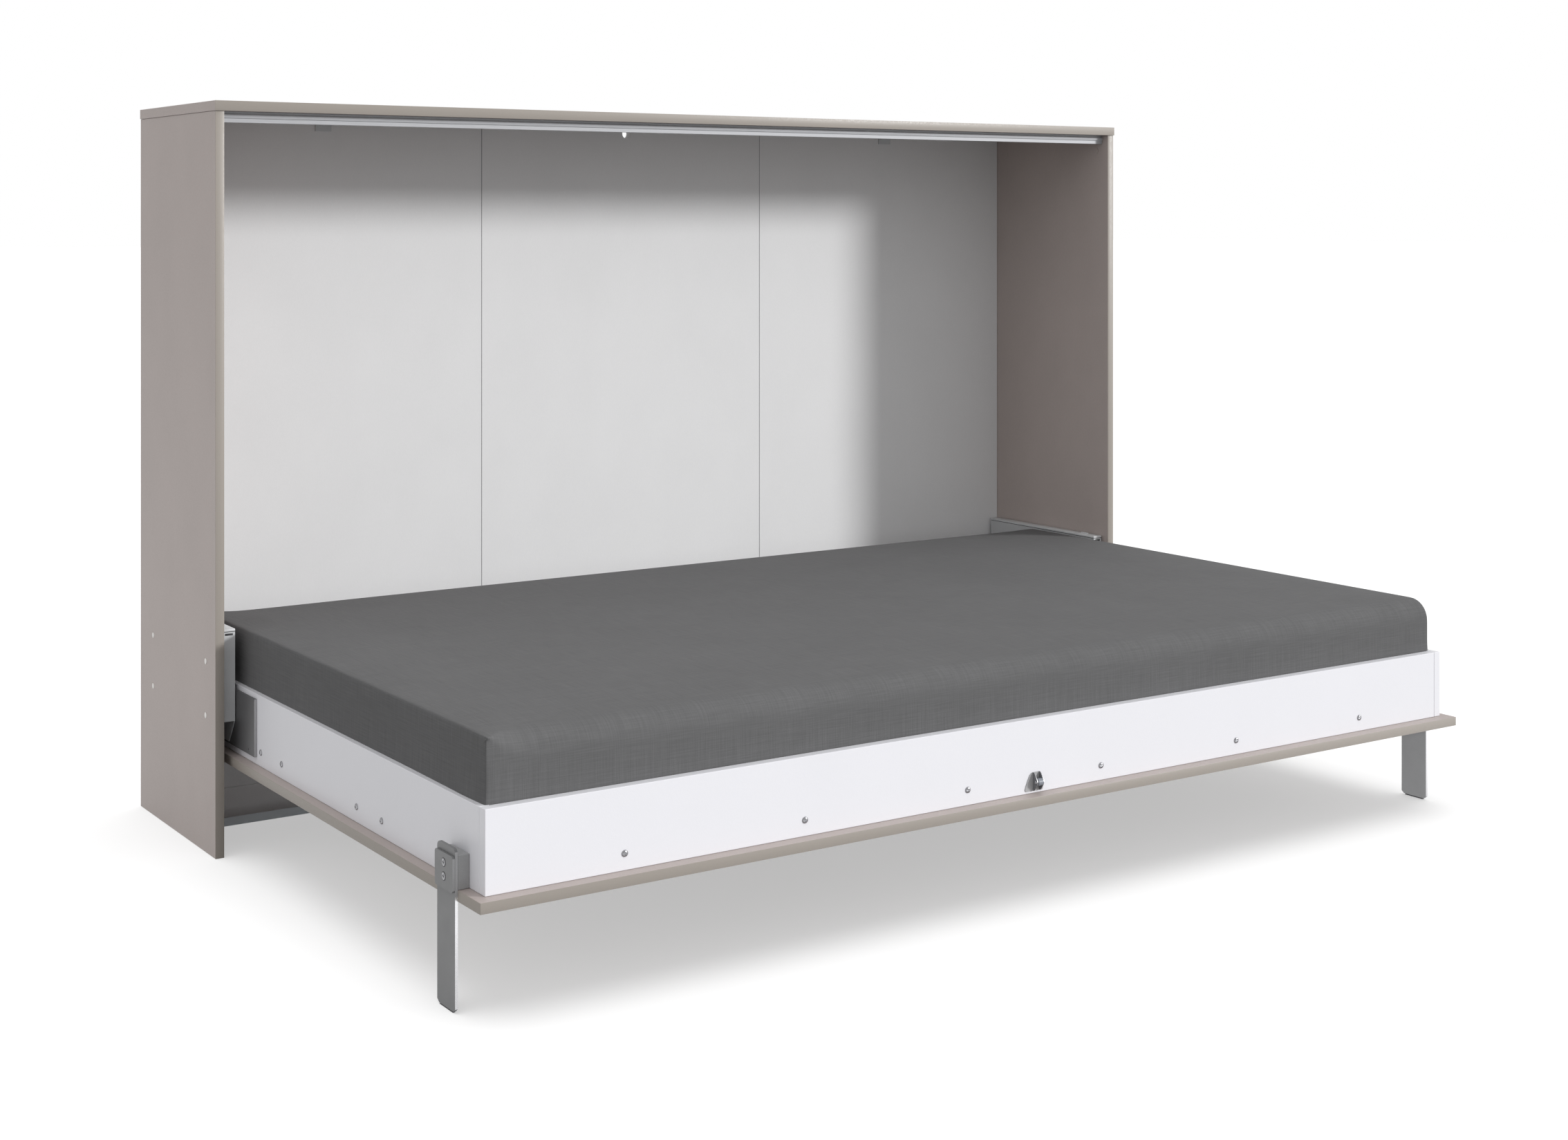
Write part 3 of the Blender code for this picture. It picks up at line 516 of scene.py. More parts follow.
FINISHES: dict[str, Finish] = {
    "taupe_board": BoardFinish("taupe_melamine", (0.425, 0.369, 0.348)),
    "grey_board": BoardFinish("pale_grey_melamine", (0.69, 0.69, 0.695), 0.55, 0.015, 0.012),
    "white_board": BoardFinish("white_melamine", (0.742, 0.742, 0.775), 0.42, 0.006, 0.005),
    "grey_fabric": LinenFinish("charcoal_linen", (0.119, 0.119, 0.121)),
    "taupe_edge": BoardFinish("taupe_edge_band", (0.315, 0.285, 0.255), 0.42, 0.008, 0.012, 0.00003),
    "pale_edge": BoardFinish("pale_edge_band", (0.68, 0.73, 0.77), 0.42, 0.008, 0.008, 0.00003),
    # A dark tone that paints the shade in the narrow gaps between the back panels.
    "seam": BoardFinish("panel_seam", (0.20, 0.20, 0.21), 0.7),
    # A lighter copy of the hinge boxes' grey coat, painting the light on their tops.
    "lid_lit_coat": PowderCoat("pale_powder_coat", (0.60, 0.61, 0.62), 0.38),
    "screw_steel": MetalFinish("polished_screw", (0.33, 0.33, 0.345), 0.24),
    "catch_steel": PowderCoat("catch_steel", (0.16, 0.165, 0.175), 0.3),
    "catch_base": PowderCoat("catch_base_steel", (0.36, 0.362, 0.37), 0.35),
    # A lighter coat for the front-facing edges of steel parts: a painted highlight.
    "front_highlight_steel": PowderCoat("worn_steel_edge", (0.40, 0.402, 0.41), 0.4),
    "block_steel": PowderCoat("light_leg_block", (0.33, 0.332, 0.335), 0.45),
    # A near-white metal for the legs' lower front edges: a painted highlight.
    "front_highlight_bright": MetalFinish("ground_steel_edge", (0.80, 0.80, 0.82), 0.3),
    "birch_ply": PlyFinish("birch_plywood", (0.62, 0.47, 0.31)),
    "dark_steel": PowderCoat("dark_powder_coat", (0.085, 0.085, 0.088)),
    "grey_steel": PowderCoat("light_powder_coat", (0.50, 0.51, 0.52), 0.4),
    "leg_steel": PowderCoat("mid_powder_coat", (0.172, 0.174, 0.177)),
    "zinc_steel": MetalFinish("zinc_plate", (0.60, 0.60, 0.62), 0.32),
    "satin_aluminium": MetalFinish("satin_aluminium", (0.37, 0.375, 0.39), 0.5, (30, 1400, 1400), 0.3),
    "grey_plastic": PlasticFinish("blue_grey_nylon", (0.20, 0.215, 0.245)),
    "white_plastic": PlasticFinish("ivory_cap", (0.80, 0.78, 0.75), 0.35),
    "black_plastic": PlasticFinish("black_plastic", (0.025, 0.025, 0.027)),
}

# Nodes whose look differs from that of the rest of their slot.
NODE_FINISHES: dict[str, str] = {
    "catch_axle": "zinc_steel",
    "leg_block_left": "block_steel",
    "leg_block_right": "block_steel",
}


@dataclass
class Palette:
    """Every finish's material, made once."""

    materials: dict[str, bpy.types.Material] = field(default_factory=dict)

    def __getitem__(self, slot: str) -> bpy.types.Material:
        """The material of one of the record's slots.

        Args:
            slot: The slot's name, or another finish's.

        Returns:
            Its material.
        """
        if slot not in self.materials:
            self.materials[slot] = FINISHES[slot].material()
        return self.materials[slot]

    def dress_frame(self) -> None:
        """Give each CAD node the material of its slot in the record."""
        for entry in frame["record"]["subparts"]:
            node = frame["nodes"][entry["node"]]
            node.data.materials.clear()
            node.data.materials.append(self[NODE_FINISHES.get(entry["node"], entry["material_slot"])])


# ---------------------------------------------------------------- shapes


def bevel(
    shape: bmesh.types.BMesh, edges: Sequence[bmesh.types.BMEdge], offset: float, segments: int
) -> None:
    """Round some edges off.

    Args:
        shape: The bmesh.
        edges: The edges to round.
        offset: How far the rounding reaches.
        segments: Faces across it.
    """
    bmesh.ops.bevel(
        shape, geom=list(edges), offset=offset, segments=segments, profile=0.5, affect="EDGES", material=-1
    )


def rims(shape: bmesh.types.BMesh) -> list[bmesh.types.BMEdge]:
    """The edges where faces meet at about a right angle."""
    return [e for e in shape.edges if len(e.link_faces) == 2 and e.calc_face_angle() > RIM_ANGLE]


def lift(shape: bmesh.types.BMesh, faces: Sequence[bmesh.types.BMFace], step: Sequence[float]) -> None:
    """Extrude flat faces into a solid by a step, with its faces outwards.

    Args:
        shape: The bmesh that holds the faces.
        faces: The flat faces.
        step: The way and distance to extrude them.
    """
    parts = bmesh.ops.extrude_face_region(shape, geom=list(faces))["geom"]
    moved = [part for part in parts if isinstance(part, bmesh.types.BMVert)]
    bmesh.ops.translate(shape, verts=moved, vec=step)
    bmesh.ops.recalc_face_normals(shape, faces=shape.faces)


def outlined(points: Sequence[Point], thickness: Sequence[float]) -> bmesh.types.BMesh:
    """A flat plate with an outline.

    Args:
        points: The points of one face, in order.
        thickness: The step from that face to the other.

    Returns:
        The plate as a bmesh.
    """
    shape = bmesh.new()
    face = shape.faces.new([shape.verts.new(point) for point in points])
    lift(shape, [face], thickness)
    return shape


def block(
    low: Sequence[float], high: Sequence[float], rounding: float = 0.0, segments: int = 2
) -> bmesh.types.BMesh:
    """A box between two corners, with rounded edges.

    Args:
        low: Its lowest corner.
        high: Its highest corner.
        rounding: The edges' radius, or 0 to leave them sharp.
        segments: Faces across each rounding.

    Returns:
        The box as a bmesh.
    """
    shape = bmesh.new()
    bmesh.ops.create_cube(shape, size=1.0)
    size = Vector(high) - Vector(low)
    bmesh.ops.scale(shape, verts=shape.verts, vec=size)
    bmesh.ops.translate(shape, verts=shape.verts, vec=Vector(low) + size / 2)
    if rounding:
        bevel(shape, shape.edges, rounding, segments)
    return shape


def turning(profile: Sequence[tuple[float, float]], steps: int = 24) -> bmesh.types.BMesh:
    """A solid turned about Z from (radius, height) points that start and end on the axis.

    Args:
        profile: The points, in order.
        steps: Faces around the axis.

    Returns:
        The solid as a bmesh.
    """
    shape = bmesh.new()
    verts = [shape.verts.new((radius, 0, height)) for radius, height in profile]
    for first, second in zip(verts, verts[1:]):
        shape.edges.new((first, second))
    bmesh.ops.spin(
        shape, geom=shape.verts[:] + shape.edges[:], axis=(0, 0, 1), cent=(0, 0, 0),
        angle=2 * math.pi, steps=steps, use_merge=True, use_duplicate=False,
    )
    bmesh.ops.remove_doubles(shape, verts=shape.verts, dist=MERGE)
    bmesh.ops.recalc_face_normals(shape, faces=shape.faces)
    return shape


def place(shape: bmesh.types.BMesh, facing: Facing, centre: Sequence[float]) -> bmesh.types.BMesh:
    """Turn a shape that looks along +Z to a facing, and move it to its centre."""
    bmesh.ops.transform(shape, matrix=Matrix.Translation(centre) @ facing.matrix(), verts=shape.verts)
    return shape


def piece(
    name: str,
    shape: bmesh.types.BMesh,
    material: bpy.types.Material,
    body: str,
    smooth: float = 35,
) -> bpy.types.Object:
    """Make a finished piece from a shape, and let it ride on a body.

    Args:
        name: The piece's name.
        shape: Its shape in place. It is freed.
        material: Its material.
        body: The body that it moves with.
        smooth: Edges sharper than this many degrees stay sharp.

    Returns:
        The new object.
    """
    mesh = bpy.data.meshes.new(name)
    shape.to_mesh(mesh)
    shape.free()
    obj = bpy.data.objects.new(name, mesh)
    bpy.context.scene.collection.objects.link(obj)
    mesh.materials.append(material)
    mesh.shade_smooth()
    mesh.set_sharp_from_angle(angle=math.radians(smooth))
    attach(obj, body)
    LOG.info("made %s on %s: %d faces", name, body, len(mesh.polygons))
    return obj


def carve(obj: bpy.types.Object, tool: bmesh.types.BMesh) -> None:
    """Cut a shape out of an object for good.

    Args:
        obj: The object to cut.
        tool: The shape to take away. It is freed.
    """
    mesh = bpy.data.meshes.new(f"{obj.name}_cut")
    tool.to_mesh(mesh)
    tool.free()
    cutter = bpy.data.objects.new(mesh.name, mesh)
    bpy.context.scene.collection.objects.link(cutter)
    modifier = obj.modifiers.new("Cut", "BOOLEAN")
    modifier.operation = "DIFFERENCE"
    modifier.solver = "EXACT"
    modifier.object = cutter
    bake_modifiers(obj)
    bpy.data.objects.remove(cutter)


def bake_modifiers(obj: bpy.types.Object) -> None:
    """Replace an object's mesh by what its modifiers make of it.

    Args:
        obj: The object, which keeps its name and body.
    """
    graph = bpy.context.evaluated_depsgraph_get()
    graph.update()
    final = obj.evaluated_get(graph)
    mesh = bpy.data.meshes.new_from_object(final, preserve_all_data_layers=True, depsgraph=graph)
    obj.modifiers.clear()
    obj.data = mesh


def frame_copy(node: str) -> bmesh.types.BMesh:
    """A merged copy of a CAD node's mesh, with its flat faces whole again.

    Args:
        node: The node's name.

    Returns:
        The copy as a bmesh.
    """
    shape = bmesh.new()
    shape.from_mesh(frame["nodes"][node].data)
    bmesh.ops.remove_doubles(shape, verts=shape.verts, dist=MERGE)
    bmesh.ops.dissolve_limit(
        shape,
        angle_limit=math.radians(1),
        verts=shape.verts,
        edges=shape.edges,
        use_dissolve_boundaries=False,
    )
    return shape


def middle(node: str) -> Vector:
    """The centre of a CAD node's box."""
    low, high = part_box(node)
    return (low + high) / 2


# ---------------------------------------------------------------- hardware


@dataclass
class DomeScrew:
    """A round-headed screw with a shallow cross recess."""

    radius: float = 0.0052
    height: float = 0.0026
    recess: float = 0.0009
    slot_width: float = 0.0011
    rim: float = 0.0005

    def shape(self) -> bmesh.types.BMesh:
        """The head, standing on z = 0 and looking along +Z.

        Returns:
            The head as a bmesh.
        """
        profile = [(0, 0), (self.radius, 0), (self.radius, self.rim)]
        for step in range(1, 7):
            angle = step / 6 * math.pi / 2
            rise = (self.height - self.rim) * math.sin(angle)
            profile.append((self.radius * math.cos(angle), self.rim + rise))
        profile[-1] = (0, self.height)
        return turning(profile, 24)

    def build(self, name: str, facing: Facing, centre: Sequence[float], body: str, palette: Palette) -> None:
        """Make one screw head against a face.

        Args:
            name: The screw's name.
            facing: The way that it looks out.
            centre: The middle of its seat.
            body: The body that it rides on.
            palette: The finishes.
        """
        head = piece(name, self.shape(), palette["screw_steel"], body)
        floor = self.height - self.recess
        cross = cross_shape(self.radius * 1.1, self.slot_width, floor, self.height + 0.001)
        carve(head, cross)
        turn = Matrix.Translation(centre) @ facing.matrix()
        head.data.transform(turn)


def cross_shape(reach: float, width: float, low: float, high: float) -> bmesh.types.BMesh:
    """A plus-shaped prism between two heights.

    Args:
        reach: Each arm's whole length.
        width: Each arm's width.
        low: The lower height.
        high: The upper height.

    Returns:
        The prism as a bmesh.
    """
    shape = bmesh.new()
    bmesh.ops.create_grid(shape, x_segments=3, y_segments=3, size=0.5)
    middles = [(face, face.calc_center_median()) for face in shape.faces]
    corners = [face for face, middle in middles if abs(middle.x) > 0.2 and abs(middle.y) > 0.2]
    bmesh.ops.delete(shape, geom=corners, context="FACES")
    for vert in shape.verts:
        vert.co.x = math.copysign(reach / 2 if abs(vert.co.x) > 0.3 else width / 2, vert.co.x)
        vert.co.y = math.copysign(reach / 2 if abs(vert.co.y) > 0.3 else width / 2, vert.co.y)
        vert.co.z = low
    lift(shape, shape.faces[:], (0, 0, high - low))
    return shape


@dataclass
class FlatScrew:
    """A countersunk screw with a cross recess, on a black disc that shows as a ring of painted shade round
    its head.
    """

    radius: float = 0.0050
    proud: float = 0.0005
    sink_margin: float = 0.0014
    sink_proud: float = 0.0002
    slot_width: float = 0.0018
    rim: float = 0.0004
    sink_depth: float = 0.0002

    def build(self, name: str, facing: Facing, centre: Sequence[float], body: str, palette: Palette) -> None:
        """Make one screw, with a black disc round its head as painted shade, against a face.

        Args:
            name: The screw's name.
            facing: The way that it looks out.
            centre: The middle of its seat.
            body: The body that it rides on.
            palette: The finishes.
        """
        turn = Matrix.Translation(centre) @ facing.matrix()
        rim = self.rim
        profile = [(0, 0), (self.radius, 0), (self.radius, self.proud)]
        profile += [(self.radius - rim, self.proud + rim / 2)]
        profile += [(self.radius * 0.5, self.proud), (0, self.proud)]
        head = piece(name, turning(profile, 28), palette["screw_steel"], body)
        carve(head, cross_shape(self.radius * 1.1, self.slot_width, -rim, self.proud + rim))
        head.data.transform(turn)
        # A black disc a little wider than the head paints the shade round it.
        edge = self.radius + self.sink_margin
        low, high = -self.sink_depth, self.sink_proud
        shape = turning([(0, low), (edge, low), (edge, high), (0, high)], 28)
        shade_ring = piece(f"{name}_countersink", shape, palette["black_plastic"], body)
        shade_ring.data.transform(turn)


# ---------------------------------------------------------------- sub-assemblies


@dataclass
class SubAssembly:
    """A group of the bed's pieces, dressed from one palette."""

    palette: Palette

    def build(self) -> None:
        """Make the pieces in place."""
        raise NotImplementedError


@dataclass
class RailScrews(SubAssembly):
    """The dome screws along the lower edge of the bed's rails."""

    front_x: tuple[float, ...] = (-0.783, -0.464, -0.144, 0.144, 0.464, 0.783)
    side_y: tuple[float, ...] = (-0.3265, -0.2285, 0.0948, 0.1928)
    height: float = 0.2005
    screw: DomeScrew = field(default_factory=DomeScrew)

    def build(self) -> None:
        """Put a screw at each place on the front and side rails."""
        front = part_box("front_rail")[0].y
        for number, x in enumerate(self.front_x, 1):
            place = (x, front, self.height)
            self.screw.build(f"front_rail_screw_{number}", Facing.FRONT, place, "bed", self.palette)
        for side in Side:
            low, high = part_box(f"{side.word}_rail")
            x = high.x if side is Side.RIGHT else low.x
            for number, y in enumerate(self.side_y, 1):
                name = f"{side.word}_rail_screw_{number}"
                self.screw.build(name, side.facing, (x, y, self.height), "bed", self.palette)


@dataclass
class LegHardware(SubAssembly):
    """The two cross-head screws that hold each leg's cover plate."""

    heights: tuple[float, float] = (0.2097, 0.1899)
    screw: FlatScrew = field(default_factory=lambda: FlatScrew(radius=0.0054))

    def build(self) -> None:
        """Put two screws on each cover plate."""
        for side in Side:
            low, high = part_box(f"leg_cover_{side.word}")
            x = high.x if side is Side.RIGHT else low.x
            y = middle(f"leg_cover_{side.word}").y
            for number, z in enumerate(self.heights, 1):
                name = f"leg_screw_{side.word}_{number}"
                self.screw.build(name, side.facing, (x, y, z), "bed", self.palette)


@dataclass
class EdgeBands(SubAssembly):
    """Edge tape on the boards' sawn edges, a shade darker than their faces."""

    proud: float = 0.00025
    wrap: float = 0.0005
    rounding: float = 0.0003
    edges: tuple[tuple[str, Facing, str, str, str], ...] = (
        ("left_side_panel", Facing.FRONT, "taupe_edge", "cabinet", "taupe_board"),
        ("right_side_panel", Facing.FRONT, "taupe_edge", "cabinet", "taupe_board"),
        ("top_panel", Facing.FRONT, "taupe_edge", "cabinet", "taupe_board"),
        ("front_panel", Facing.FRONT, "taupe_edge", "bed", "taupe_board"),
        ("front_panel", Facing.LEFT, "taupe_edge", "bed", "taupe_board"),
        ("front_panel", Facing.RIGHT, "taupe_edge", "bed", "taupe_board"),
        ("front_panel", Facing.REAR, "taupe_edge", "bed", "taupe_board"),
        ("bottom_board", Facing.FRONT, "pale_edge", "cabinet", "grey_board"),
    )

    def build(self) -> None:
        """Lay a strip over each edge."""
        for node, facing, finish, body, slot in self.edges:
            low, high = (corner.copy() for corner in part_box(node))
            normal = facing.normal()
            axis = max(range(3), key=lambda i: abs(normal[i]))
            if normal[axis] > 0:
                low[axis], high[axis] = high[axis] - self.wrap, high[axis] + self.proud
            else:
                low[axis], high[axis] = low[axis] - self.proud, low[axis] + self.wrap
            strip = block(low, high, self.rounding)
            piece(f"{node}_{facing.name.lower()}_band", strip, self.palette[finish], body)


@dataclass
class PanelSeams(SubAssembly):
    """Dark strips over the joints between the back panels, painting the shade in their narrow gaps."""

    width: float = 0.0013
    proud: float = 0.0002
    depth: float = 0.0012
    rounding: float = 0.0001

    def build(self) -> None:
        """Lay a thin dark strip over each joint, a little proud of the panels, as painted shade."""
        low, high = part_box("back_panel_center")
        for side in Side:
            x = side.value * high.x
            corner = (x - self.width / 2, low.y - self.proud, low.z)
            strip = block(corner, (x + self.width / 2, low.y + self.depth, high.z), self.rounding, 1)
            # The strip paints the shade of the gap between two panels.
            piece(f"back_seam_{side.word}", strip, self.palette["seam"], "cabinet")


@dataclass
class HingeCoverTop(SubAssembly):
    """The pressed lid of each hinge box in a lighter coat that paints the light on the box's top, with black
    strips that paint the shade of the gap under it and of its front slot, and a tab.
    """

    lid_height: float = 0.0038
    seam_height: float = 0.0009
    overhang: float = 0.0002
    slot_z: tuple[float, float] = (0.3875, 0.3914)
    slot_x: tuple[float, float] = (1.0184, 1.0330)
    tab_x: tuple[float, float] = (1.0268, 1.0302)
    tab_y: tuple[float, float] = (0.3415, 0.3625)
    tab_height: float = 0.003
    lid_round: float = 0.0007
    slot_proud: float = 0.0002
    slot_depth: float = 0.002
    slot_round: float = 0.0003
    tab_round: float = 0.0005

    def build(self) -> None:
        """Make both lids."""
        for side in Side:
            low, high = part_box(f"hinge_cover_{side.word}")
            over = Vector((self.overhang,) * 3)
            top = high.z + self.overhang
            lid_low, lid_high = Vector((low.x, low.y, top - self.lid_height)), Vector((high.x, high.y, top))
            lid = block(lid_low - over, lid_high + over, self.lid_round)
            # The lid takes a lighter copy of the box's grey coat: painted light on the box's top.
            self.add(f"hinge_lid_{side.word}", lid, "lid_lit_coat", "grey_steel")
            # A black strip under the lid paints the shade of the gap between lid and box.
            seam_top = top - self.lid_height - self.overhang
            thin = over / 2
            seam_low = Vector((low.x, low.y, seam_top - self.seam_height))
            seam = block(seam_low - thin, Vector((high.x, high.y, seam_top)) + thin)
            self.add(f"hinge_seam_{side.word}", seam, "black_plastic", "black_plastic")
            # A black block on the box's front paints the shade inside the slot.
            depth = (low.y - self.slot_proud, low.y + self.slot_depth)
            slot = self.mirrored(side, self.slot_x, depth, self.slot_z, self.slot_round)
            self.add(f"hinge_slot_{side.word}", slot, "black_plastic", "black_plastic")
            # The tab takes the same lighter coat as the lid, as painted light.
            tab = self.mirrored(side, self.tab_x, self.tab_y, (high.z, top + self.tab_height), self.tab_round)
            self.add(f"hinge_tab_{side.word}", tab, "lid_lit_coat", "grey_steel")

    def mirrored(
        self, side: Side, x: Sequence[float], y: Sequence[float], z: Sequence[float], rounding: float
    ) -> bmesh.types.BMesh:
        """A block between limits given for the right side.

        Args:
            side: The side that it goes on.
            x: Its limits across the bed, on the right side.
            y: Its limits from front to rear.
            z: Its limits in height.
            rounding: Its edges' radius.

        Returns:
            The block as a bmesh.
        """
        near, far = sorted(side.value * value for value in x)
        return block((near, y[0], z[0]), (far, y[1], z[1]), rounding)

    def add(self, name: str, shape: bmesh.types.BMesh, finish: str, slot: str) -> None:
        """Make one part of a lid."""
        piece(name, shape, self.palette[finish], "cabinet")


@dataclass
class RailHingePlates(SubAssembly):
    """The flat steel plates that join the bed's side rails to the pivots."""

    edge: float = 0.0005
    corner: float = 0.0009
    screw_place: tuple[float, float] = (0.2375, 0.1975)
    screw: DomeScrew = field(default_factory=lambda: DomeScrew(0.0027, 0.0008, 0.0004, 0.0006))

    def build(self) -> None:
        """Make a crisp plate and its screw in place of each plain one."""
        for side in Side:
            low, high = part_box(f"rail_hinge_plate_{side.word}")
            shape = block(low, high)
            corners = [e for e in shape.edges if abs(e.verts[0].co.x - e.verts[1].co.x) > 0.001]
            bevel(shape, corners, self.corner, 3)
            bevel(shape, rims(shape), self.edge, 2)
            name = f"rail_plate_{side.word}"
            plate = piece(name, shape, self.palette["dark_steel"], "bed")
            # The plate's front face takes a lighter coat: a painted highlight.
            plate.data.materials.append(self.palette["front_highlight_steel"])
            for face in plate.data.polygons:
                face.material_index = int(face.normal.y < -EDGE_FACE)
            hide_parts(f"rail_hinge_plate_{side.word}")
            outer = high.x if side is Side.RIGHT else low.x
            self.screw.build(f"{name}_screw", side.facing, (outer, *self.screw_place), "bed", self.palette)


@dataclass
class Catch(SubAssembly):
    """The roller catch's pressed housing: a flanged base and two pointed cheeks."""

    sheet: float = 0.0012
    flange: tuple[tuple[float, float], ...] = (
        (-0.0066, 0.1792), (-0.0212, 0.1792), (-0.0236, 0.1806), (-0.0240, 0.1830), (-0.0222, 0.1888),
        (-0.0176, 0.1990), (-0.0138, 0.2062), (-0.0100, 0.2093), (-0.0066, 0.2102), (0.0066, 0.2102),
        (0.0098, 0.2080), (0.0122, 0.2030), (0.0140, 0.1940), (0.0146, 0.1830), (0.0136, 0.1792),
        (0.0066, 0.1792),
    )
    cheek: tuple[tuple[float, float], ...] = (
        (0.0000, 0.1796), (0.0034, 0.1796), (0.0052, 0.1806), (0.0116, 0.1898), (0.0130, 0.1926),
        (0.0132, 0.1950), (0.0124, 0.1976), (0.0052, 0.2086), (0.0036, 0.2100), (0.0000, 0.2104),
    )
    cheek_x: float = 0.0067
    rim: float = 0.00025
    rivet: tuple[float, float] = (0.0024, 0.0010)

    def build(self) -> None:
        """Make the housing and the axle's riveted ends in place of the plain bracket."""
        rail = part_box("front_rail")[0].y
        base = self.plate([(x, rail, z) for x, z in self.flange], (0, -self.sheet, 0))
        body = piece("catch_base", base, self.palette["catch_base"], "bed")
        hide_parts("catch_bracket")
        for side in Side:
            x = side.value * (self.cheek_x + self.sheet / 2)
            outline = [(x, rail - out, z) for out, z in self.cheek]
            shape = self.plate(outline, (-side.value * self.sheet, 0, 0))
            cheek = piece(f"catch_cheek_{side.word}", shape, self.palette["catch_steel"], "bed")
            # The cheeks' rims take bright zinc, painting the highlight along their folds and edges.
            cheek.data.materials.append(self.palette["zinc_steel"])
            for face in cheek.data.polygons:
                face.material_index = int(abs(face.normal.x) < 1 - EDGE_FACE)
            radius, height = self.rivet
            profile = [(0, 0), (radius, 0), (radius, height * 0.5), (radius * 0.7, height), (0, height)]
            axle = middle("catch_axle")
            rivet = place(turning(profile, 20), side.facing, (x, axle.y, axle.z))
            piece(f"catch_rivet_{side.word}", rivet, self.palette["zinc_steel"], "bed")

    def plate(self, outline: Sequence[Point], thickness: Point) -> bmesh.types.BMesh:
        """A plate with an outline and a lightly rounded rim.

        Args:
            outline: The points of one face, in order.
            thickness: The step from that face to the other.

        Returns:
            The plate as a bmesh.
        """
        shape = outlined(outline, thickness)
        bevel(shape, rims(shape), self.rim, 1)
        return shape


@dataclass
class FlatSteel(SubAssembly):
    """The legs and their covers, with painted highlights on their front edges."""

    change_height: float = 0.166
    nodes: tuple[tuple[str, str], ...] = (
        ("leg_left", "leg_left"),
        ("leg_right", "leg_right"),
        ("leg_cover_left", "bed"),
        ("leg_cover_right", "bed"),
    )

    def build(self) -> None:
        """Make a copy of each part with its front-facing faces in lighter finishes that paint the key light's
        highlight.
        """
        for node, body in self.nodes:
            shape = frame_copy(node)
            geometry = shape.verts[:] + shape.edges[:] + shape.faces[:]
            level = Vector((0, 0, self.change_height))
            bmesh.ops.bisect_plane(shape, geom=geometry, dist=MERGE, plane_co=level, plane_no=(0, 0, 1))
            steel = piece(f"{node}_steel", shape, self.palette["leg_steel"], body)
            steel.data.materials.append(self.palette["front_highlight_steel"])
            steel.data.materials.append(self.palette["front_highlight_bright"])
            # Front-facing faces take the lighter finishes, brightest below change_height: a painted
            # highlight.
            for face in steel.data.polygons:
                if face.normal.y < -EDGE_FACE:
                    face.material_index = 1 if face.center.z > self.change_height else 2
            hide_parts(node)


@dataclass
class StopRail(SubAssembly):
    """The aluminium rail under the top panel: a recess, a rounded ridge and a flange."""

    recess_depth: float = 0.0034
    recess_height: float = 0.0041
    ridge_height: float = 0.0078
    ridge_round: float = 0.0010
    step: float = 0.0019

    def build(self) -> None:
        """Draw the profile and extrude it along the cabinet."""
        low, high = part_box("stop_rail")
        ridge_top = high.z - self.recess_height
        ridge_foot = ridge_top - self.ridge_height
        turn = self.ridge_round
        profile = [
            (high.y, high.z),
            (low.y + self.recess_depth, high.z),
            (low.y + self.recess_depth, ridge_top),
            (low.y + turn, ridge_top),
            (low.y + turn * 0.3, ridge_top - turn * 0.3),
            (low.y, ridge_top - turn),
            (low.y, ridge_foot + turn),
            (low.y + turn * 0.3, ridge_foot + turn * 0.3),
            (low.y + turn, ridge_foot),
            (low.y + self.step, ridge_foot),
            (low.y + self.step, low.z),
            (high.y, low.z),
        ]
        shape = outlined([(low.x, y, z) for y, z in profile], (high.x - low.x, 0, 0))
        finish = "satin_aluminium"
        rail = piece("stop_rail_profile", shape, self.palette[finish], "cabinet")
        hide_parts("stop_rail")


class LightLink(Enum):
    """Whether a light falls on the named things only, or on all but them."""

    ONLY = "INCLUDE"
    ALL_BUT = "EXCLUDE"


@dataclass(frozen=True)
class Lamp:
    """A distant soft light: its strength, the angle that it fills, and the way to it."""

    name: str
    strength: float
    spread: float
    towards: Point

    def make(self) -> bpy.types.Object:
        """Put the light in the scene.

        Returns:
            The light.
        """
        light = bpy.data.lights.new(self.name, "SUN")
        light.energy = self.strength
        light.angle = math.radians(self.spread)
        sun = bpy.data.objects.new(self.name, light)
        sun.rotation_euler = Vector(self.towards).to_track_quat("Z", "Y").to_euler()
        bpy.context.scene.collection.objects.link(sun)
        return sun

    def link(self, light: bpy.types.Object, things: Sequence[bpy.types.Object], rule: LightLink) -> None:
        """Keep the light off some things, or on them only.

        Args:
            light: The light, as made.
            things: The floor or parts in question.
            rule: Whether they are the only things lit, or the only ones that aren't.
        """
        linked = bpy.data.collections.new(f"{self.name}_links")
        light.light_linking.receiver_collection = linked
        for thing in things:
            linked.objects.link(thing)
        for entry in linked.collection_objects:
            entry.light_linking.link_state = rule.value


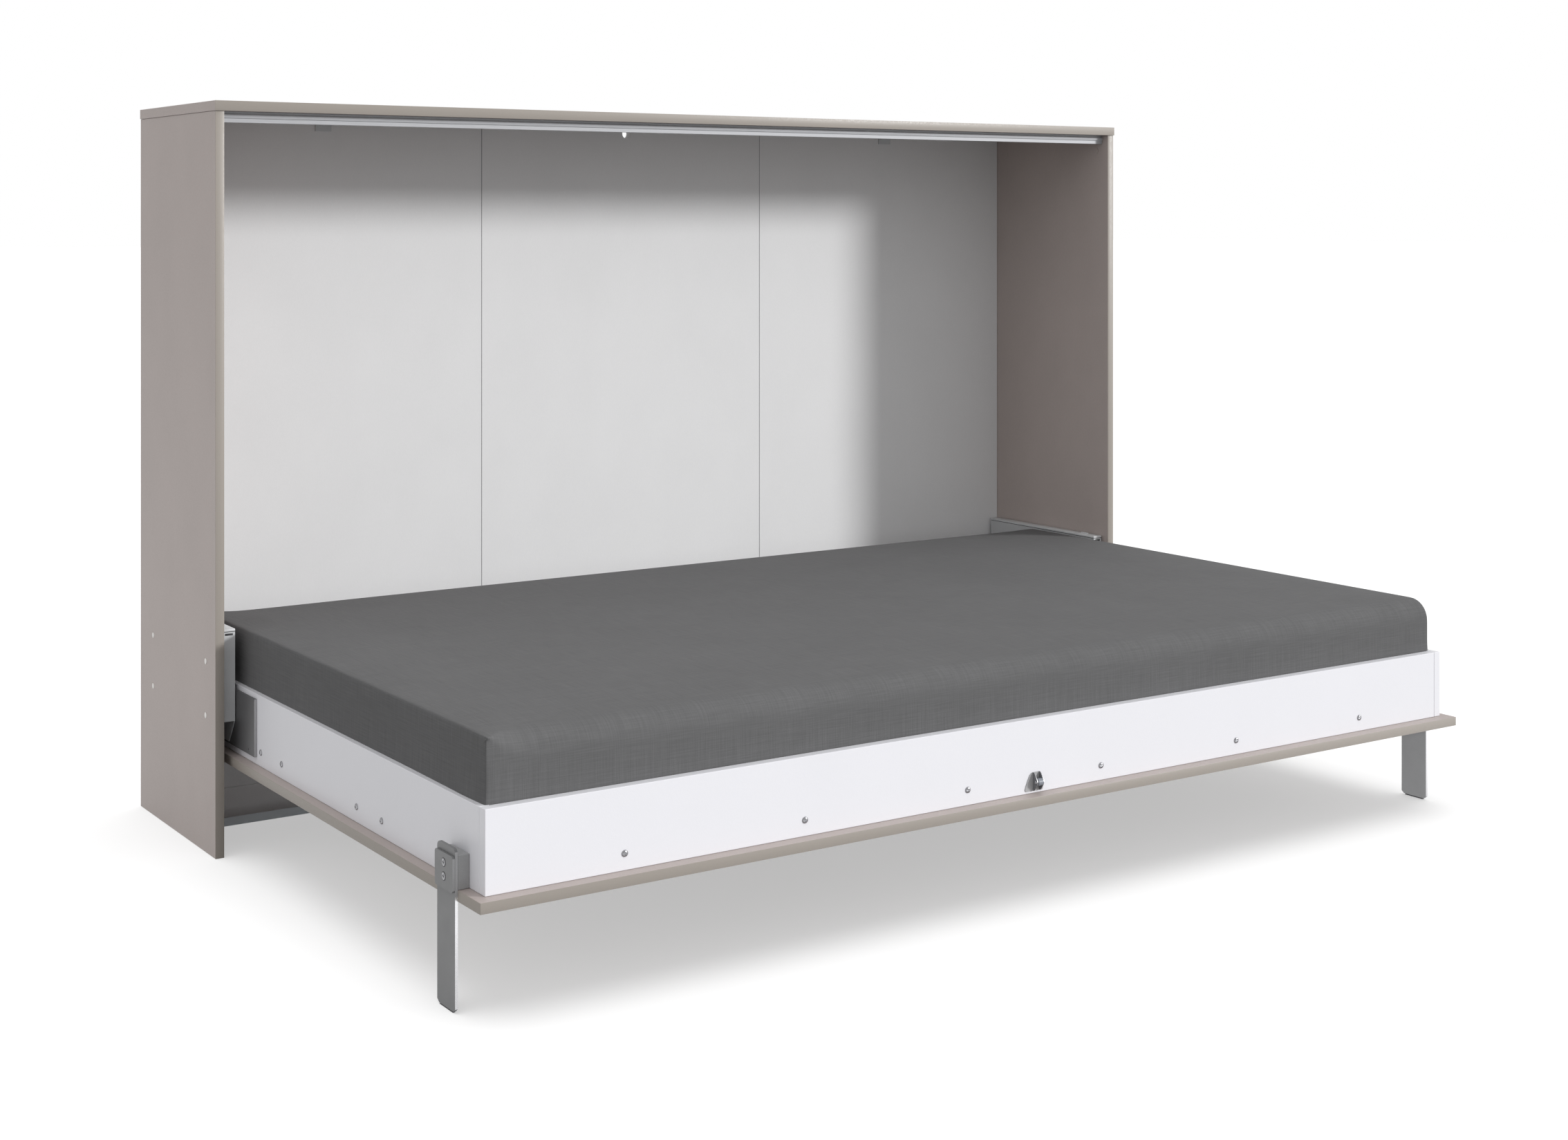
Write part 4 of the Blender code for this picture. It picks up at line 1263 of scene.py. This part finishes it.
@dataclass
class Studio:
    """A pale floor, a white surround, soft lights and the camera."""

    camera_place: Point = (-2.3728, -3.4793, 1.1295)
    camera_turn: float = math.radians(-33.79)
    focal_length: float = 50.37
    shift_down: float = 0.2247
    ambient: float = 0.73
    key: Lamp = Lamp("key_light", 2.5, 10, (1.05, -1.0, 0.409))
    top: Lamp = Lamp("top_light", 0.45, 65, (0, 0, 1))
    side: Lamp = Lamp("side_light", 0.20, 60, (-1.0, -0.3, 0.5))
    floor_wash: Lamp = Lamp("floor_wash", 2.2, 60, (0, 0, 1))
    far_leg_glow: Lamp = Lamp("far_leg_glow", 4.5, 20, (-1.0, -0.9, 0.15))
    far_leg_pieces: tuple[str, ...] = ("leg_right", "foot_pad_right")
    floor_glow: float = 0.46
    floor_albedo: float = 0.50
    bounce_glow: float = 0.02
    bounce_albedo: float = 0.50
    floor_size: float = 160.0
    bounce_depth: float = 0.001
    sensor_width: float = 36.0
    view_reach: float = 500.0

    def build(self) -> None:
        """Make the floor, the surround, the lights and the camera."""
        floor = self.make_floor("floor", 0.0, self.floor_albedo, self.floor_glow)
        floor.visible_diffuse = False
        bounce = self.make_floor("floor_bounce", -self.bounce_depth, self.bounce_albedo, self.bounce_glow)
        bounce.visible_camera = bounce.visible_glossy = False
        self.make_surround()
        far_leg = [obj for obj in bpy.data.objects if obj.name.startswith(self.far_leg_pieces)]
        for lamp in (self.key, self.top, self.side):
            lamp.link(lamp.make(), (floor,), LightLink.ALL_BUT)
        self.floor_wash.link(self.floor_wash.make(), (floor,), LightLink.ONLY)
        self.far_leg_glow.link(self.far_leg_glow.make(), far_leg, LightLink.ONLY)
        self.make_camera()
        bpy.context.scene.view_settings.view_transform = "Standard"

    def make_floor(self, name: str, height: float, albedo: float, glow: float) -> bpy.types.Object:
        """A wide pale plane that glows a little, so that shadows on it stay light.

        Args:
            name: The plane's name.
            height: Its height.
            albedo: How much light it scatters back.
            glow: How much light it gives by itself.

        Returns:
            The plane.
        """
        shape = bmesh.new()
        bmesh.ops.create_grid(shape, x_segments=1, y_segments=1, size=self.floor_size / 2)
        bmesh.ops.translate(shape, verts=shape.verts, vec=(0, 0, height))
        mesh = bpy.data.meshes.new(name)
        shape.to_mesh(mesh)
        shape.free()
        floor = bpy.data.objects.new(name, mesh)
        bpy.context.scene.collection.objects.link(floor)
        shader = Shader(f"pale_{name}", (albedo,) * 3, 1.0)
        shader.set("Specular IOR Level", 0.0)
        shader.set("Emission Color", (1.0, 1.0, 1.0, 1.0))
        shader.set("Emission Strength", glow)
        mesh.materials.append(shader.material)
        floor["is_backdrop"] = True
        return floor

    def make_surround(self) -> None:
        """An even white surround that lights the object more softly than it looks."""
        world = bpy.data.worlds.new("surround")
        world.use_nodes = True
        tree = world.node_tree
        background = tree.nodes["Background"]
        background.inputs["Color"].default_value = (1.0, 1.0, 1.0, 1.0)
        seen = tree.nodes.new("ShaderNodeLightPath")
        strength = tree.nodes.new("ShaderNodeMapRange")
        strength.inputs["To Min"].default_value = self.ambient
        strength.inputs["To Max"].default_value = 1.0
        tree.links.new(seen.outputs["Is Camera Ray"], strength.inputs["Value"])
        tree.links.new(strength.outputs["Result"], background.inputs["Strength"])
        bpy.context.scene.world = world

    def make_camera(self) -> None:
        """The camera, level and turned towards the bed, with its view shifted down."""
        lens = bpy.data.cameras.new("camera")
        lens.lens = self.focal_length
        lens.sensor_width = self.sensor_width
        lens.shift_y = -self.shift_down
        lens.clip_end = self.view_reach
        camera = bpy.data.objects.new("camera", lens)
        camera.location = self.camera_place
        camera.rotation_euler = (math.pi / 2, 0, self.camera_turn)
        bpy.context.scene.collection.objects.link(camera)
        bpy.context.scene.camera = camera


@dataclass
class Mattress(SubAssembly):
    """A foam mattress in a tight woven cover, swollen a little by a cloth simulation."""

    long_edge: float = 0.040
    end_edge: float = 0.0035
    loop_spacing: float = 0.024
    pressure: float = 3.0
    frames: int = 20
    most_swell: float = 0.0022
    corner_reach: float = 0.075
    corner_share: float = 0.14
    corner_ear: float = 0.013
    stretch_stiffness: float = 40.0
    shear_stiffness: float = 20.0
    bending_stiffness: float = 6.0
    fill: float = 0.95
    end_face: float = 0.75
    near_zero: float = 1e-5
    low: Vector = field(default_factory=lambda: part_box("mattress")[0])
    high: Vector = field(default_factory=lambda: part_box("mattress")[1])

    def build(self) -> None:
        """Make the mattress in place of its plain CAD block."""
        obj = piece("mattress_cover", self.outline(), self.palette["grey_fabric"], "bed", 60)
        self.swell(obj)
        smooth = obj.modifiers.new("Smooth", "SUBSURF")
        smooth.levels = smooth.render_levels = 1
        bake_modifiers(obj)
        obj.data.shade_smooth()
        self.lay_weave(obj)
        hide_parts("mattress")

    def outline(self) -> bmesh.types.BMesh:
        """The cover's shape before it swells, cut into an even net.

        Returns:
            The shape as a bmesh.
        """
        low, high = self.low.copy(), self.high.copy()
        shape = block(low, high)
        top_long = [
            e for e in shape.edges
            if all(abs(v.co.z - high.z) < self.near_zero for v in e.verts)
            and abs(e.verts[0].co.x - e.verts[1].co.x) > self.long_edge
        ]
        bevel(shape, top_long, self.long_edge, 8)
        ends = [e for e in rims(shape) if abs(e.verts[0].co.x - e.verts[1].co.x) < self.near_zero]
        bevel(shape, ends, self.end_edge, 2)
        spans = ((0, low.x, high.x), (1, low.y + self.long_edge, high.y - self.long_edge),
                 (2, low.z, high.z - self.long_edge))
        for axis, start, end in spans:
            count = round((end - start) / self.loop_spacing)
            for step in range(1, count):
                point, normal = Vector(), Vector()
                point[axis] = start + (end - start) * step / count
                normal[axis] = 1.0
                geometry = shape.verts[:] + shape.edges[:] + shape.faces[:]
                bmesh.ops.bisect_plane(shape, geom=geometry, dist=MERGE, plane_co=point, plane_no=normal)
        bmesh.ops.remove_doubles(shape, verts=shape.verts, dist=self.near_zero)
        self.sharpen_corners(shape)
        return shape

    def sharpen_corners(self, shape: bmesh.types.BMesh) -> None:
        """Pull the cover's left corners tight, so that they stand out a little.

        Args:
            shape: The cover's bmesh.
        """
        shoulder = self.high.z - self.long_edge
        for vert in shape.verts:
            outward = 1 if vert.co.y > (self.low.y + self.high.y) / 2 else -1
            edge = self.high.y if outward > 0 else self.low.y
            below = vert.co.z < shoulder - self.near_zero
            if below or abs(vert.co.y - edge) > self.long_edge + self.near_zero:
                continue
            near = max(0.0, 1 - (vert.co.x - self.low.x) / self.corner_reach) ** 2
            share = 1 - (1 - self.corner_share) * near
            rise = (vert.co.z - shoulder) / self.long_edge
            vert.co.y = edge + (vert.co.y - edge) * share + outward * self.corner_ear * (rise * near) ** 2
            vert.co.z = self.high.z - (self.high.z - vert.co.z) * share

    def swell(self, obj: bpy.types.Object) -> None:
        """Blow the cover up gently, holding its lower part, and limit how far it moves.

        Args:
            obj: The cover.
        """
        held = obj.vertex_groups.new(name="held")
        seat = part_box("front_rail")[1].z
        held.add([v.index for v in obj.data.vertices if v.co.z < seat], 1.0, "REPLACE")
        rest = [v.co.copy() for v in obj.data.vertices]
        cloth = obj.modifiers.new("Cloth", "CLOTH")
        cloth.settings.use_pressure = True
        cloth.settings.uniform_pressure_force = self.pressure
        cloth.settings.tension_stiffness = self.stretch_stiffness
        cloth.settings.compression_stiffness = self.stretch_stiffness
        cloth.settings.shear_stiffness = self.shear_stiffness
        cloth.settings.bending_stiffness = self.bending_stiffness
        cloth.settings.vertex_group_mass = "held"
        cloth.settings.effector_weights.gravity = 0.0
        cloth.point_cache.frame_start = 1
        cloth.point_cache.frame_end = self.frames
        scene = bpy.context.scene
        for step in range(1, self.frames + 1):
            scene.frame_set(step)
        bake_modifiers(obj)
        scene.frame_set(1)
        for vert, start in zip(obj.data.vertices, rest):
            move = vert.co - start
            if move.length > self.most_swell:
                vert.co = start + move * (self.most_swell / move.length)

    def lay_weave(self, obj: bpy.types.Object) -> None:
        """Lay a UV map in metres that wraps over the long edges without a break.

        Args:
            obj: The cover.
        """
        shape = bmesh.new()
        shape.from_mesh(obj.data)
        layer = shape.loops.layers.uv.new("weave")
        for face in shape.faces:
            end_face = abs(face.normal.x) > self.end_face
            for loop in face.loops:
                x, y, z = loop.vert.co
                loop[layer].uv = (y, z) if end_face else (x, self.along_profile(y, z))
        shape.to_mesh(obj.data)
        shape.free()

    def along_profile(self, y: float, z: float) -> float:
        """The distance along the cover's cross-section, from the foot of its front rounding.

        Args:
            y: The point's place from front to rear.
            z: The point's height.

        Returns:
            The distance in metres.
        """
        radius = self.long_edge
        quarter = radius * math.pi / 2
        front, rear, shoulder = self.low.y + radius, self.high.y - radius, self.high.z - radius
        if y > rear:
            if z < shoulder:
                return quarter * 2 + rear - front + shoulder - z
            return quarter + rear - front + radius * math.atan2(y - rear, z - shoulder)
        if y > front or z > self.high.z - 10 * self.near_zero:
            return quarter + y - front
        if z < shoulder:
            return z - shoulder
        return radius * math.atan2(z - shoulder, front - y)


SUB_ASSEMBLIES: tuple[type[SubAssembly], ...] = (
    RailScrews, LegHardware, EdgeBands, PanelSeams, HingeCoverTop,
    RailHingePlates, Catch, FlatSteel, StopRail, Mattress,
)


def report_size() -> None:
    """Work out the CAD box and the visual model's box, without keeping them.
    """
    boxes = [[list(corner) for corner in corners] for corners in (CAD_BOX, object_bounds())]
    {"cad": boxes[0], "visual": boxes[1]}


def main() -> None:
    """Build every sub-assembly in order."""
    logging.basicConfig(level=logging.INFO, format="%(name)s: %(message)s")
    palette = Palette()
    palette.dress_frame()
    for kind in SUB_ASSEMBLIES:
        kind(palette).build()
    Studio().build()
    report_size()


if __name__ == "__main__":
    main()
